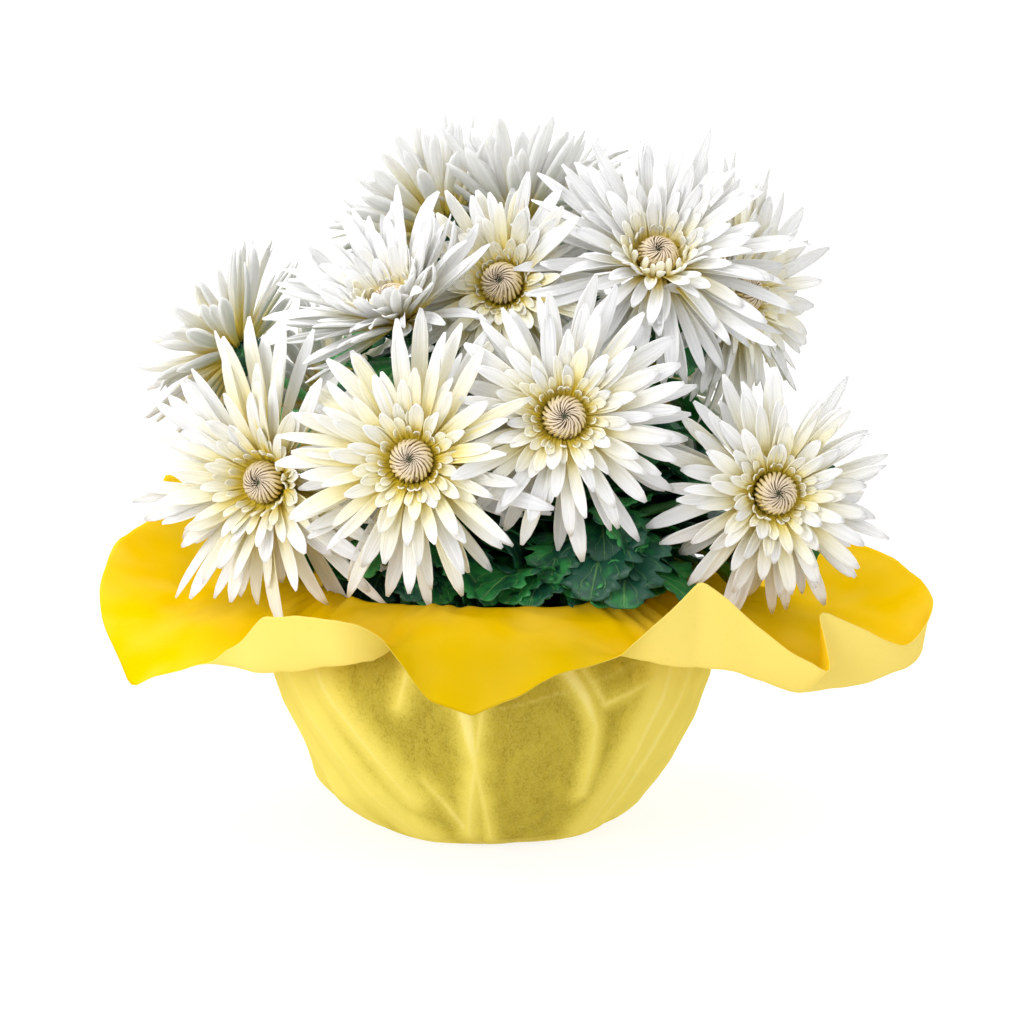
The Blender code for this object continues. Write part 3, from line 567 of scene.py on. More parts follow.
def new_build():
    """An empty bmesh with the blades' own map and tone."""
    build = bmesh.new()
    build.loops.layers.uv.new("blade")
    build.verts.layers.float.new("tone")
    return build


def only(kind, items):
    """Those of a mesh's items that are of one kind, such as its points."""
    return [item for item in items if isinstance(item, kind)]


def tree_of(made):
    """A search tree of an object as it shows."""
    return BVHTree.FromObject(made, bpy.context.evaluated_depsgraph_get())


def blade(build, shape, across, along, tone):
    """A thin surface: a grid whose points are placed by shape(column from -1 to 1, row number)."""
    made = bmesh.ops.create_grid(build, x_segments=across, y_segments=along, size=1, calc_uvs=True)["verts"]
    layer = build.verts.layers.float["tone"]
    for vertex in made:
        column, row = vertex.co.x, round((vertex.co.y + 1) / 2 * along)
        vertex.co = shape(column, row)
        vertex[layer] = tone


def tube(build, points, radii, sides):
    """A closed round stem along points, each with its own radius, on rings kept free of twist."""
    known = set(build.faces)
    ahead = (points[1] - points[0]).normalized()
    matrix = Matrix.Translation(points[0]) @ UP.rotation_difference(ahead).to_matrix().to_4x4()
    made = bmesh.ops.create_circle(build, cap_ends=True, segments=sides, radius=radii[0], matrix=matrix)
    edges = list({edge for vertex in made["verts"] for edge in vertex.link_edges})
    for i in range(1, len(points)):
        onward = (points[min(i + 1, len(points) - 1)] - points[i - 1]).normalized()
        turn = ahead.rotation_difference(onward)
        made = bmesh.ops.extrude_edge_only(build, edges=edges)["geom"]
        edges = only(bmesh.types.BMEdge, made)
        for vertex in only(bmesh.types.BMVert, made):
            spoke = turn @ (vertex.co - points[i - 1])
            vertex.co = points[i] + spoke * (radii[i] / radii[i - 1])
        ahead = onward
    bmesh.ops.edgeloop_fill(build, edges=edges)
    bmesh.ops.recalc_face_normals(build, faces=[face for face in build.faces if face not in known])


def half_ball(build, sides, rings, facing):
    """The points of half a ball of radius 1: the upper half where facing is 1, the lower where it is -1."""
    made = bmesh.ops.create_uvsphere(build, u_segments=sides, v_segments=rings, radius=1)["verts"]
    geometry = made + list({item for vertex in made for item in [*vertex.link_edges, *vertex.link_faces]})
    cut = bmesh.ops.bisect_plane(build, geom=geometry, plane_no=(0, 0, -facing), clear_outer=True)
    return {vertex for vertex in made if vertex.is_valid} | set(only(bmesh.types.BMVert, cut["geom_cut"]))


def object_of(build, name, finishes):
    """A new object with the build's mesh and its finishes."""
    mesh = bpy.data.meshes.new(name)
    build.to_mesh(mesh)
    build.free()
    for finish in finishes:
        mesh.materials.append(finish.material)
    made = bpy.data.objects.new(name, mesh)
    bpy.context.scene.collection.objects.link(made)
    return made


def thicken(made, thickness):
    """Gives a piece its thickness, inwards from its outer face."""
    solidify = made.modifiers.new("thickness", "SOLIDIFY")
    solidify.thickness = thickness
    solidify.offset = -1
    return solidify


def piece_of(build, name, finishes, replaced, thickness=0.0):
    """The finished piece: it rides on the part, takes its finishes and stands for CAD nodes."""
    made = object_of(build, name, finishes)
    made.data.shade_smooth()
    if thickness:
        thicken(made, thickness)
    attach(made, "root")
    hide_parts(*replaced)
    return made


# Places, from the frame


class Bloom:
    """One bloom's place, axis and reach, as the packed model has them."""

    def __init__(self, name):
        self.name = name
        self.plant, self.opening, self.droop, self.tuck, self.warmth, self.stretch = BLOOMS[name]
        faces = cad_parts["eye_" + name].data.polygons
        largest = max(faces, key=lambda face: face.area)
        flat = [face for face in faces if face.normal.dot(largest.normal) > 0.999]
        area = sum(face.area for face in flat)
        self.seat = sum((face.center * face.area for face in flat), Vector()) / area
        self.axis = -largest.normal.normalized()
        self.centre = self.seat - self.axis * (CORE_HALF + CORE_GAP)
        self.calyx_top = self.centre - self.axis * (CORE_HALF + CORE_GAP)
        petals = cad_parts["petals_" + name].data.vertices
        self.reach = max((vertex.co - self.centre).length for vertex in petals)
        across = self.axis.cross(UP).normalized()
        self.frame = Matrix((across, self.axis.cross(across), self.axis)).transposed()
        self.fork = fork_of(self.plant)

    def place(self, point):
        """A point of the bloom's own frame, in the part's."""
        return self.centre + self.frame @ point

    def shoot_point(self, share):
        """A point of the shoot's line, from the fork at 0 to the calyx's top at 1."""
        start, end = self.fork, self.calyx_top
        length = (end - start).length
        outward = Vector((end.x - start.x, end.y - start.y, 0)) * SHOOT_LEAN
        one = start + (UP * length + outward).normalized() * length * SHOOT_EASE
        two = end - self.axis * length * SHOOT_EASE
        rest = 1 - share
        point = start * rest**3 + one * (3 * rest * rest * share)
        return point + two * (3 * rest * share * share) + end * share**3


def foot_of(plant):
    """The middle of a plant's main stem, at its foot in the soil."""
    points = [vertex.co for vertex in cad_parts["plant_" + plant].data.vertices]
    lowest = min(point.z for point in points)
    foot = [point for point in points if point.z < lowest + MM]
    return sum(foot, Vector()) / len(foot)


def blooms_of(plant):
    """The blooms that a plant bears."""
    return [bloom for bloom in GARDEN["blooms"] if bloom.plant == plant]


def fork_of(plant):
    """Where a plant's main stem forks into its shoots."""
    foot = foot_of(plant)
    return Vector((foot.x, foot.y, FORKS[plant] * MM))


# Petals


def petal_finish():
    """White petal, cream to yellow at its root, with fine veins along it, and painted grey shade along its
    channel's middle and towards its tip.
    """
    colours = settings_of("mum_petals")
    finish = Finish("petal")
    across, along = finish.across_and_along()
    tone = finish.mark("tone")
    drawn = finish.node("ShaderNodeCombineXYZ", None, [across * 9, along * 1.6, tone * 7])
    streak = finish.noise(drawn, 1, 0)
    out = finish.off_rib(across)
    cream_end = 0.36 + tone * 0.70 + (streak - 0.5) * 0.3
    cream = finish.ease(along / cream_end, 0.3, 1.3, 1.0, 0.0)
    yellow = finish.ease(along / (0.28 + tone * 0.34), 0.25, 1.2, 1.0, 0.0)
    # Painted shade: grey in the hollow along each petal's middle, and grey towards the tips of the whiter
    # petals
    hollow = finish.ease(out, 0.85, 0.25) * finish.ease(along, 0.35, 0.8) * finish.ease(streak, 0.25, 0.7)
    shade_grey = finish.ease(along, 0.30, 1.0) * (1 - tone) * (0.25 + streak * 0.6)
    colour = finish.mix(shade_grey * 0.45 + hollow * 0.4, colours.white, colours.shade_grey)
    colour = finish.mix(cream * (0.40 + tone * 0.6), colour, colours.cream)
    colour = finish.mix(yellow * (0.86 + tone * 0.14), colour, colours.yellow)
    vein = finish.math("SINE", across * (FULL_TURN * 5)) * 0.5 + 0.5
    # The veins are fine lines in the same grey
    colour = finish.mix(vein * 0.12 * finish.ease(streak, 0.3, 0.8), colour, colours.shade_grey)
    finish.set(Base_Color=colour, Roughness=0.45, Specular_IOR_Level=0.35)
    finish.bump(vein, 0.35, 0.3 * MM)
    finish.glow_through(*PETAL_GLOW)
    return finish


def petal_rib(root, turn, pitches, length, steps, sway=0.0, roll=0.0, curl=0.0):
    """Stations along a petal's rib in its bloom's frame: point, sideways and upper directions."""
    point = level(turn) * root[0] * MM + UP * root[1] * MM
    stations = []
    for i in range(steps + 1):
        share = i / steps
        pitch = math.radians(pitches[0] + (pitches[1] - pitches[0]) * share + curl * share**4)
        heading = turn + math.radians(sway) * share * (1 - 0.5 * share)
        radial = level(heading)
        forward = radial * math.sin(pitch) + UP * math.cos(pitch)
        normal = UP * math.sin(pitch) - radial * math.cos(pitch)
        twist = Quaternion(forward, math.radians(roll) * share)
        stations.append((point.copy(), twist @ forward.cross(normal), twist @ normal))
        point += forward * (length / steps)
    return stations


def petal_outline(share, spoon):
    """Half width of a petal at a share of its length, as a share of its widest."""
    if spoon:
        body = 0.42 + 0.58 * smooth(share, 0.2, 0.8)
        tip = 1 - np.clip((share - 0.82) / 0.18, 0, 1) ** 2.5
    else:
        body = 0.54 + 0.46 * smooth(share, 0.05, 0.60)
        tip = 1 - np.clip((share - 0.68) / 0.32, 0, 1) ** 2.3
    return max(0.16, float(body * tip**0.68))


def add_petal(build, bloom, rib, half, spoon, tone):
    """A petal on its rib, whose edges roll up into a channel at its root and open towards its tip."""
    rows = []
    for i, (point, side, normal) in enumerate(rib):
        share = i / (len(rib) - 1)
        angle = 0.85 * (1 - smooth(share, 0.0, 0.8)) + (0.9 if spoon else 0.5)
        rows.append((point, side, normal, half * petal_outline(share, spoon), angle))

    def shape(column, row):
        point, side, normal, wide, angle = rows[row]
        radius = wide / angle
        groove = 0.10 * wide * math.cos(column * 2 * math.pi)
        lift = radius * (1 - math.cos(angle * column)) + groove
        return bloom.place(point + side * (radius * math.sin(angle * column)) + normal * lift)

    blade(build, shape, PETAL_ACROSS, PETAL_ALONG, tone)


def strip_of(bloom, rib, half):
    """A coarse strip along a rib, for tests of crossing: its points and faces."""
    points = []
    for i in range(2, len(rib)):
        point, side, _ = rib[i]
        wide = half * (1.0 if i < len(rib) - 1 else 0.3)
        points += [bloom.place(point - side * wide), bloom.place(point + side * wide)]
    faces = [(i, i + 1, i + 3, i + 2) for i in range(0, len(points) - 3, 2)]
    return points, faces


def bent(pitches, bend):
    """Pitches bent by some degrees, less at the root, where the petal stays clear of the eye."""
    return max(STEEPEST_ROOT, pitches[0] + 0.5 * bend), pitches[1] + 1.1 * bend


def petal_tries():
    """The bends, swings and shortenings that a petal may take, least change first."""
    tries = []
    for bend, swing, share in itertools.product(BENDS, SWINGS, SHORTENINGS):
        changes = (abs(bend), abs(swing), 1 - share)
        tries.append((sum(cost * change for cost, change in zip(TRY_COSTS, changes)), bend, swing, share))
    return [entry[1:] for entry in sorted(tries)]


def petals_of(bloom, finish, obstacles, thickness):
    """Makes one bloom's petals in their whorls, and a tree of strips that stand for them in later tests."""
    draw = random.Random("scene petals " + bloom.name)
    build = new_build()
    strip_points, strip_faces = [], []
    tries = petal_tries()
    for whorl, (count, root, low, high, reach, width, spoon) in enumerate(WHORLS):
        for i in range(count):
            turn = FULL_TURN * (i + WHORL_TURN * whorl + draw.uniform(-TURN_SPREAD, TURN_SPREAD)) / count
            rise = (bloom.frame @ level(turn)).z
            closing = max(0, whorl - LAST_OPEN) / (len(WHORLS) - 1 - LAST_OPEN)
            tuck = bloom.tuck * (0.5 - 0.5 * rise) * closing
            change = reach * (bloom.opening - bloom.droop * rise) - tuck
            spreads = [draw.uniform(-spread, spread) for spread in PITCH_SPREAD]
            pitches = (low + 0.6 * change + spreads[0], high + change + spreads[1])
            length = bloom.reach * bloom.stretch * reach - root[0] * MM
            length *= draw.uniform(*LENGTH_SPREAD) * (1 + TUCK_GROWTH * tuck)
            sway, roll = draw.gauss(0, SWAY_SPREAD), draw.uniform(-ROLL_SPREAD, ROLL_SPREAD)
            curl = draw.gauss(0, CURL_SPREAD)
            half = 0.5 * width * MM * draw.uniform(*WIDTH_SPREAD)
            tone = bloom.warmth + draw.gauss(0, TONE_SPREAD) + (0.7 if spoon else 0.06 * (whorl - 3))
            tone = min(1.0, max(0.0, tone))
            for bend, swing, share in tries:
                turned, lie = turn + math.radians(swing), bent(pitches, bend)
                coarse = petal_rib(root, turned, lie, length * share, PETAL_STRIP, sway, 0, curl)
                points, faces = strip_of(bloom, coarse, half)
                if over_collar(points) and not crosses(points, faces, obstacles):
                    offset = len(strip_points)
                    strip_points += points
                    strip_faces += [tuple(corner + offset for corner in face) for face in faces]
                    rib = petal_rib(root, turned, lie, length * share, PETAL_ALONG, sway, roll, curl)
                    add_petal(build, bloom, rib, half, spoon, tone)
                    break
    receptacle(build, bloom)
    piece_of(build, "rays_" + bloom.name, [finish], ["petals_" + bloom.name], thickness)
    return BVHTree.FromPolygons(strip_points, strip_faces)


def receptacle(build, bloom):
    """The shallow bowl that the petals stand on, open towards the eye."""
    radius, depth, rise = RECEPTACLE
    for vertex in half_ball(build, 20, 8, -1):
        x, y, z = vertex.co
        vertex.co = bloom.place(Vector((x * radius, y * radius, z * depth + rise)) * MM)


def crosses(points, faces, trees):
    """Whether a strip crosses any of the trees."""
    strip = BVHTree.FromPolygons(points, faces)
    return any(strip.overlap(tree) for tree in trees)


def over_collar(points):
    """Whether all points lie clear above the sheet's collar, or beside it."""
    for point in points:
        if point.z < SHEET_TOP:
            hit = GARDEN["sheet"].ray_cast(Vector((point.x, point.y, 1)), -UP)[0]
            if hit is not None and point.z < hit.z + COLLAR_CLEARANCE:
                return False
    return True


SHEET_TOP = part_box("wrap")[1].z + COLLAR_CLEARANCE


# Florets


def floret_finish():
    """Incurved florets, pale along their backs with painted dark shade at their edges, in the grooves
    between them, and a green middle.
    """
    colours = settings_of("mum_florets")
    finish = Finish("floret")
    across, along = finish.across_and_along()
    tone = finish.mark("tone")
    cloud = finish.noise(finish.place(), 400, 2)
    out = finish.off_rib(across)
    back = finish.ease(out, 0.80, 0.30)
    # Painted shade: each floret is dark at its edges, where the grooves between florets lie
    colour = finish.mix(back * (0.75 + cloud * 0.4), colours.tan, colours.pale)
    root = finish.ease(along, 0.75, 0.1) * finish.ease(tone, 0.25, 0.0)
    colour = finish.mix(root * (0.35 + back * 0.4), colour, (0.72, 0.54, 0.08))
    colour = finish.mix(finish.ease(tone, 0.45, 1.0) * 0.85, colour, colours.green)
    finish.set(Base_Color=colour, Roughness=0.55)
    finish.bump(cloud, 0.3, 0.2 * MM)
    return finish


def florets_of(bloom, finish):
    """One bloom's eye: rings of young florets that swirl in over a low dome."""
    draw = random.Random("scene florets " + bloom.name)
    build = new_build()
    layer = build.verts.layers.float["tone"]
    rise = (bloom.seat - bloom.centre).length
    radius, height = EYE_DOME
    for vertex in half_ball(build, 24, 12, 1):
        x, y, z = vertex.co
        vertex[layer] = 0.35 + 0.65 * float(smooth(z, 0.4, 1.0))
        vertex.co = bloom.place(Vector((x * radius, y * radius, z * height)) * MM + UP * rise)
    for ring, (count, root, tip, low, high, width) in enumerate(EYE_RINGS):
        for i in range(count):
            turn = FULL_TURN * (i + 0.5 * ring + draw.uniform(-0.12, 0.12)) / count
            add_floret(build, bloom, turn, (root, tip, low, high, width), ring, rise, draw)
    replaced = ["eye_" + bloom.name]
    return piece_of(build, "florets_" + bloom.name, [finish], replaced, FLORET_THICKNESS)


def add_floret(build, bloom, turn, ring_row, ring, rise, draw):
    """One incurved floret, from its root at the dome's side to its tip near the middle."""
    root, tip, low, high, width = ring_row
    steps = 6
    swirl = math.radians(EYE_SWIRL * draw.uniform(0.85, 1.15))
    bulge = draw.uniform(0.9, 1.1)

    def middle(share):
        heading = turn + swirl * share * share
        radius = root + (tip - root) * share**1.5 + 1.4 * bulge * math.sin(math.pi * share) * (1 - share)
        height = low + (high - low) * math.sin(math.pi / 2 * share) ** 0.9
        return Vector((math.cos(heading) * radius, math.sin(heading) * radius, height)) * MM

    def shape(column, row):
        share = row / steps
        here, ahead = middle(share), middle(share + 0.04)
        forward = (ahead - here).normalized()
        outward = Vector((here.x, here.y, 4 * MM)).normalized()
        side = forward.cross(outward).normalized()
        swell = 0.65 + 0.5 * math.sin(math.pi * min(1, share + 0.12))
        half = 0.5 * width * MM * swell * (1 - 0.5 * share**3)
        hood = side.cross(forward)
        point = here + side * column * half + hood * half * 1.05 * (1 - column * column)
        return bloom.place(point + UP * rise)

    blade(build, shape, 3, steps, min(1.0, 0.12 * ring))


# Stems and leaves


def stem_finish():
    """Green stem with fine ridges along it."""
    colours = settings_of("mum_foliage")
    finish = Finish("stem")
    place = finish.place()
    cloud = finish.noise(place, 120, 3)
    stretched = finish.node("ShaderNodeMapping", None, {"Vector": place, "Scale": (1, 1, 0.12)})
    ridge = finish.noise(stretched, 900, 2)
    colour = finish.mix(cloud, colours.stem, colours.bright)
    colour = finish.mix(finish.ease(cloud, 0.4, 0.7) * 0.5, colour, colours.stem)
    finish.set(Base_Color=colour, Roughness=0.5)
    finish.bump(ridge, 0.6, 0.3 * MM)
    return finish


def leaf_finish():
    """Dark leaf with paler veins, bright patches beside them and a puckered surface."""
    colours = settings_of("mum_foliage")
    finish = Finish("leaf")
    across, along = finish.across_and_along()
    tone = finish.mark("tone")
    place = finish.place()
    cloud = finish.noise(place, 60, 2)
    fine = finish.noise(place, 420, 1, 0.65)
    out = finish.off_rib(across)
    rib = finish.ease(out, 0.075, 0.015)
    slant = along * 5.6 - out * 1.5 + (cloud - 0.5) * 0.5
    branch = finish.math("PINGPONG", slant, 0.5)
    branches = finish.ease(branch, 0.075, 0.01) * finish.ease(out, 1.0, 0.6)
    veins = finish.math("MAXIMUM", rib, branches * 0.8)
    patch = finish.noise(place, 110, 2, 0.6)
    bright = finish.ease(cloud * 0.4 + patch * 0.6 + tone * 0.24, 0.54, 0.74)
    colour = finish.mix(bright * 0.8, colours.dark, colours.bright)
    colour = finish.mix(fine * 0.35, colour, (0.004, 0.035, 0.025))
    colour = finish.mix(veins * (0.35 + bright * 0.5), colour, colours.vein)
    finish.set(Base_Color=colour, Roughness=0.34 + fine * 0.22)
    finish.set(Specular_IOR_Level=0.4)
    finish.bump(fine * 0.6 - veins, 0.5, 0.6 * MM)
    return finish


def stems_of(plant, blooms, finish):
    """A plant's main stem, its shoots, and the cup under each bloom."""
    build = new_build()
    foot, fork = foot_of(plant), fork_of(plant)
    top = fork + UP * 1.5 * MAIN_STEM_RADIUS
    heights = [foot.lerp(top, i / 6) for i in range(7)]
    radii = [MAIN_STEM_RADIUS * (1 - 0.03 * i) for i in range(6)] + [0.6 * MAIN_STEM_RADIUS]
    tube(build, heights, radii, STEM_SIDES + 2)
    for bloom in blooms:
        shares = [i / STEM_STEPS for i in range(STEM_STEPS)]
        points = [bloom.shoot_point(share) for share in shares]
        radii = [SHOOT_RADIUS * (1 - 0.12 * share) for share in shares]
        tube(build, points + cup_points(bloom), radii + [0.3 * CALYX_RADIUS, *cup_radii()], STEM_SIDES)
    return piece_of(build, "stems_" + plant, [finish], ["plant_" + plant])


def cup_points(bloom):
    """Points along the calyx's cup, from the stem to the receptacle."""
    depths = (1.0, 0.8, 0.5, 0.25, 0.0)
    return [bloom.calyx_top - bloom.axis * CALYX_DEPTH * depth for depth in depths]


def cup_radii():
    """Radii of the calyx's cup at all its points but the first."""
    return [CALYX_RADIUS * share for share in (0.62, 0.86, 0.95, 0.92)]


def leaf_outline(share):
    """Half width of a leaf at a share of its length: petiole, then a lobed and toothed blade."""
    if share < PETIOLE_SHARE:
        return 0.045
    place = (share - PETIOLE_SHARE) / (1 - PETIOLE_SHARE)
    body = math.sin(math.pi * min(1.0, place**0.72 * 0.97 + 0.03)) ** 0.62
    for notch, depth, half in LEAF_NOTCHES:
        body *= 1 - depth * math.exp(-(((place - notch) / half) ** 2))
    tooth = abs(math.sin(math.pi * LEAF_TEETH * place))
    return max(0.03, body * (0.90 + 0.10 * tooth))


def leaf_rib(root, heading, pitches, length, steps):
    """Stations along a leaf's rib: point, sideways and upper directions."""
    away = level(heading)
    side = Vector((-away.y, away.x, 0))
    point = root.copy()
    stations = []
    for i in range(steps + 1):
        pitch = math.radians(pitches[0] + (pitches[1] - pitches[0]) * i / steps)
        stations.append((point.copy(), side, UP * math.cos(pitch) - away * math.sin(pitch)))
        point += (away * math.cos(pitch) + UP * math.sin(pitch)) * (length / steps)
    return stations


def add_leaf(build, rib, length, tone, draw):
    """A lobed leaf on its rib, folded along it, puckered between its veins and waved at its edge."""
    fold = draw.uniform(0.08, 0.24)
    wave, phase = draw.uniform(0.05, 0.12), draw.uniform(0, FULL_TURN)
    halves = [LEAF_HALF_WIDTH * length * leaf_outline(i / LEAF_ALONG) for i in range(LEAF_ALONG + 1)]

    def shape(column, row):
        share = row / LEAF_ALONG
        point, side, normal = rib[row]
        half = halves[row]
        out = abs(column)
        ahead = rib[min(LEAF_ALONG, row + 1)][0] - rib[max(0, row - 1)][0]
        forward = ahead.normalized() * (half * 0.42 * out)
        pucker = 0.06 * half * math.cos(FULL_TURN * (4.5 * share - 0.9 * out)) * out
        edge = wave * half * math.sin(FULL_TURN * 3 * share + phase + column) * out * out
        lift = fold * half * out + pucker + edge
        if share < PETIOLE_SHARE:
            lift = half * out * out
            forward = Vector()
        return point + side * (column * half) + forward + normal * lift

    blade(build, shape, LEAF_ACROSS, LEAF_ALONG, tone)


def leaf_strip(rib, length, width=1.0, raised=0.0):
    """A coarse folded strip over a leaf's blade, for tests of crossing: its points and faces."""
    points = []
    ahead = (rib[-1][0] - rib[-5][0]).normalized()
    for row in range(0, LEAF_ALONG + 1, 4):
        point, side, normal = rib[row]
        share = row / LEAF_ALONG
        place = max(0.0, (share - PETIOLE_SHARE) / (1 - PETIOLE_SHARE))
        half = LEAF_HALF_WIDTH * length * max(0.05, math.sin(math.pi * place**0.72) ** 0.62)
        half *= width
        point = point + normal * (0.5 * MM + raised)
        lift = normal * 0.16 * half + ahead * 0.3 * half
        points += [point - side * half + lift, point, point + side * half + lift]
    faces = []
    for row in range(0, len(points) - 5, 3):
        faces += [(row, row + 1, row + 4, row + 3), (row + 1, row + 2, row + 5, row + 4)]
    return points, faces


def leaf_choices(heading, length, lies):
    """The headings, pitches and lengths that a leaf may have, best first."""
    choices = []
    for share in LEAF_SHARES:
        for rank, pitches in enumerate(lies):
            for swing in FRONT_SWINGS if lies is FRONT_LIES else LEAF_SWINGS:
                cost = 2.4 * (1 - share) + 0.12 * rank + abs(swing) / 45
                choices.append((cost, heading + math.radians(swing), pitches, length * share))
    return [choice[1:] for choice in sorted(choices)]


def arc_span(pitches):
    """How far out and up an arc of unit length reaches, whose pitch goes evenly between two angles."""
    low, high = (math.radians(pitch) for pitch in pitches)
    turn = high - low
    return (math.sin(high) - math.sin(low)) / turn, (math.cos(low) - math.cos(high)) / turn


def hanging_choices(plant, blooms, angle, reach):
    """Leaves from any stem of a plant whose tips come to rest on the sheet, best first."""
    fork, foot = fork_of(plant), foot_of(plant)
    heading = math.radians(angle)
    tip = level(heading) * reach * MM
    ground = max(GARDEN["sheet"].ray_cast(tip + UP, -UP)[0].z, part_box("pot")[1].z)
    shortest, best, longest = HANGING_LENGTHS
    roots = [foot.lerp(fork, share) for share in (0.86, 0.93, 1.0)]
    roots += [bloom.shoot_point(share) for bloom in blooms for share in HANGING_SHARES]
    choices = []
    for root in roots:
        away = Vector((tip.x - root.x, tip.y - root.y, 0))
        for low in HANGING_LOW:
            for high in HANGING_HIGH:
                out, up = arc_span((low, high))
                length = away.length / max(out, 0.15)
                miss = root.z + up * length - ground - HANGING_GAP
                if shortest < length < longest and HANGING_MISS[0] < miss < HANGING_MISS[1]:
                    cost = miss / (9 * MM) + abs(length - best) / (30 * MM)
                    choices.append((cost, tuple(root), math.atan2(away.y, away.x), (low, high), length))
    return [(Vector(choice[1]), *choice[2:]) for choice in sorted(choices)]


def leaf_slots(plant, blooms, draw):
    """Where leaves grow on a plant, in a spiral up each stem: root, heading, full length and lies."""
    foot, fork = foot_of(plant), fork_of(plant)
    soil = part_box("soil")[1].z

    def main_point(share):
        return Vector((foot.x, foot.y, soil + (fork.z - soil) * share))

    points = {plant: main_point, **{bloom.name: bloom.shoot_point for bloom in blooms}}
    slots = []
    for stem, rows in FRONT_LEAVES.items():
        for share, heading, length in rows if stem in points else ():
            slots.append((points[stem](share), math.radians(heading), length * MM, FRONT_LIES))
    turn = math.atan2(fork.y, fork.x)
    for i in range(LEAVES_ON_MAIN):
        root = main_point((i + 0.5) / LEAVES_ON_MAIN)
        slots.append((root, turn, LOW_LEAF * draw.uniform(0.8, 1.0), LOW_LIES))
        turn += math.radians(GOLDEN_TURN)
    for bloom in blooms:
        turn = math.atan2(bloom.centre.y - fork.y, bloom.centre.x - fork.x) + draw.uniform(-0.5, 0.5)
        for share in LEAVES_ON_SHOOT:
            length = (HIGH_LEAF[0] + (HIGH_LEAF[1] - HIGH_LEAF[0]) * share) * draw.uniform(0.9, 1.05)
            slots.append((bloom.shoot_point(share), turn, length, HIGH_LIES))
            turn += math.radians(GOLDEN_TURN)
    return slots


def add_bracts(build, bloom, draw):
    """The rings of green bracts that clasp the bloom from below."""
    for count, depth, length, width, low, high in BRACTS:
        for i in range(count):
            turn = FULL_TURN * (i + draw.uniform(-0.1, 0.1)) / count
            root = (0.36 * CALYX_RADIUS / MM, -depth - CORE_HALF / MM)
            rib = petal_rib(root, turn, (low, high), length * MM, 4)
            half = 0.5 * width * MM

            def shape(column, row):
                point, side, normal = rib[row]
                wide = half * (0.8, 1.0, 0.95, 0.7, 0.12)[row]
                hollow = normal * (0.9 - 0.5 * column * column) * MM
                return bloom.place(point + side * column * wide - hollow)

            blade(build, shape, 2, 4, 0.1)


def grow_leaf(build, choices, trees, leaves, draw):
    """Adds a leaf by the first choice that is clear of the trees and of the other leaves' middles."""
    tone = draw.random()
    for root, heading, pitches, length in choices:
        rib = leaf_rib(root, heading, pitches, length, LEAF_ALONG)
        whole = leaf_strip(rib, length)
        if not inside_box(whole[0]) or not clear_of(whole, trees):
            continue
        margins = (leaf_strip(rib, length, 1.0, raised) for raised in LEAF_MARGINS)
        if not all(clear_of(strip, GARDEN["petals"].values()) for strip in margins):
            continue
        middle = leaf_strip(rib, length, LEAF_MIDDLE)
        if clear_of(middle, leaves):
            add_leaf(build, rib, length, tone, draw)
            leaves.append(BVHTree.FromPolygons(*middle))
            return


def leaves_of(plant, blooms, finish, trees, leaves, thickness):
    """One plant's leaves, each where it is clear of the trees, and its blooms' bracts."""
    draw = random.Random("scene leaves " + plant)
    build = new_build()
    for angle, reach in HANGING_LEAVES.get(plant, ()):
        grow_leaf(build, hanging_choices(plant, blooms, angle, reach), trees, leaves, draw)
    for root, heading, length, lies in leaf_slots(plant, blooms, draw):
        choices = [(root, *choice) for choice in leaf_choices(heading, length, lies)]
        grow_leaf(build, choices, trees, leaves, draw)
    for bloom in blooms:
        add_bracts(build, bloom, draw)
    return piece_of(build, "leaves_" + plant, [finish], ["plant_" + plant], thickness)


def clear_of(strip, trees):
    """Whether a leaf's strip, but for its first stretch at the stem, is clear of all the trees."""
    points, faces = strip
    faces = [tuple(corner - 3 for corner in face) for face in faces[2:]]
    return not crosses(points[3:], faces, trees)


def inside_box(points):
    """Whether all points lie inside the packed model's box."""
    low, high = CAD_BOX
    return all(low[i] <= point[i] <= high[i] for point in points for i in range(3))


# Sheet


def smooth_weights(places, count):
    """Weights of a smooth curve through count points, at places counted in points."""
    weights = np.zeros((len(places), count))
    for row, place in enumerate(places):
        first = int(math.floor(place))
        t = place - first
        shares = (
            (-t + 2 * t * t - t**3) / 2,
            (2 - 5 * t * t + 3 * t**3) / 2,
            (t + 4 * t * t - 3 * t**3) / 2,
            (-t * t + t**3) / 2,
        )
        if place <= 1:
            shares = (0, 1 - t, t, 0)
        for k, share in zip(range(first - 1, first + 3), shares):
            weights[row, min(max(k, 0), count - 1)] += share
    return weights


def round_off(values):
    """A column of values round the sheet, with its corners eased a little."""
    return (values + 0.75 * (np.roll(values, 1) + np.roll(values, -1))) / 2.5


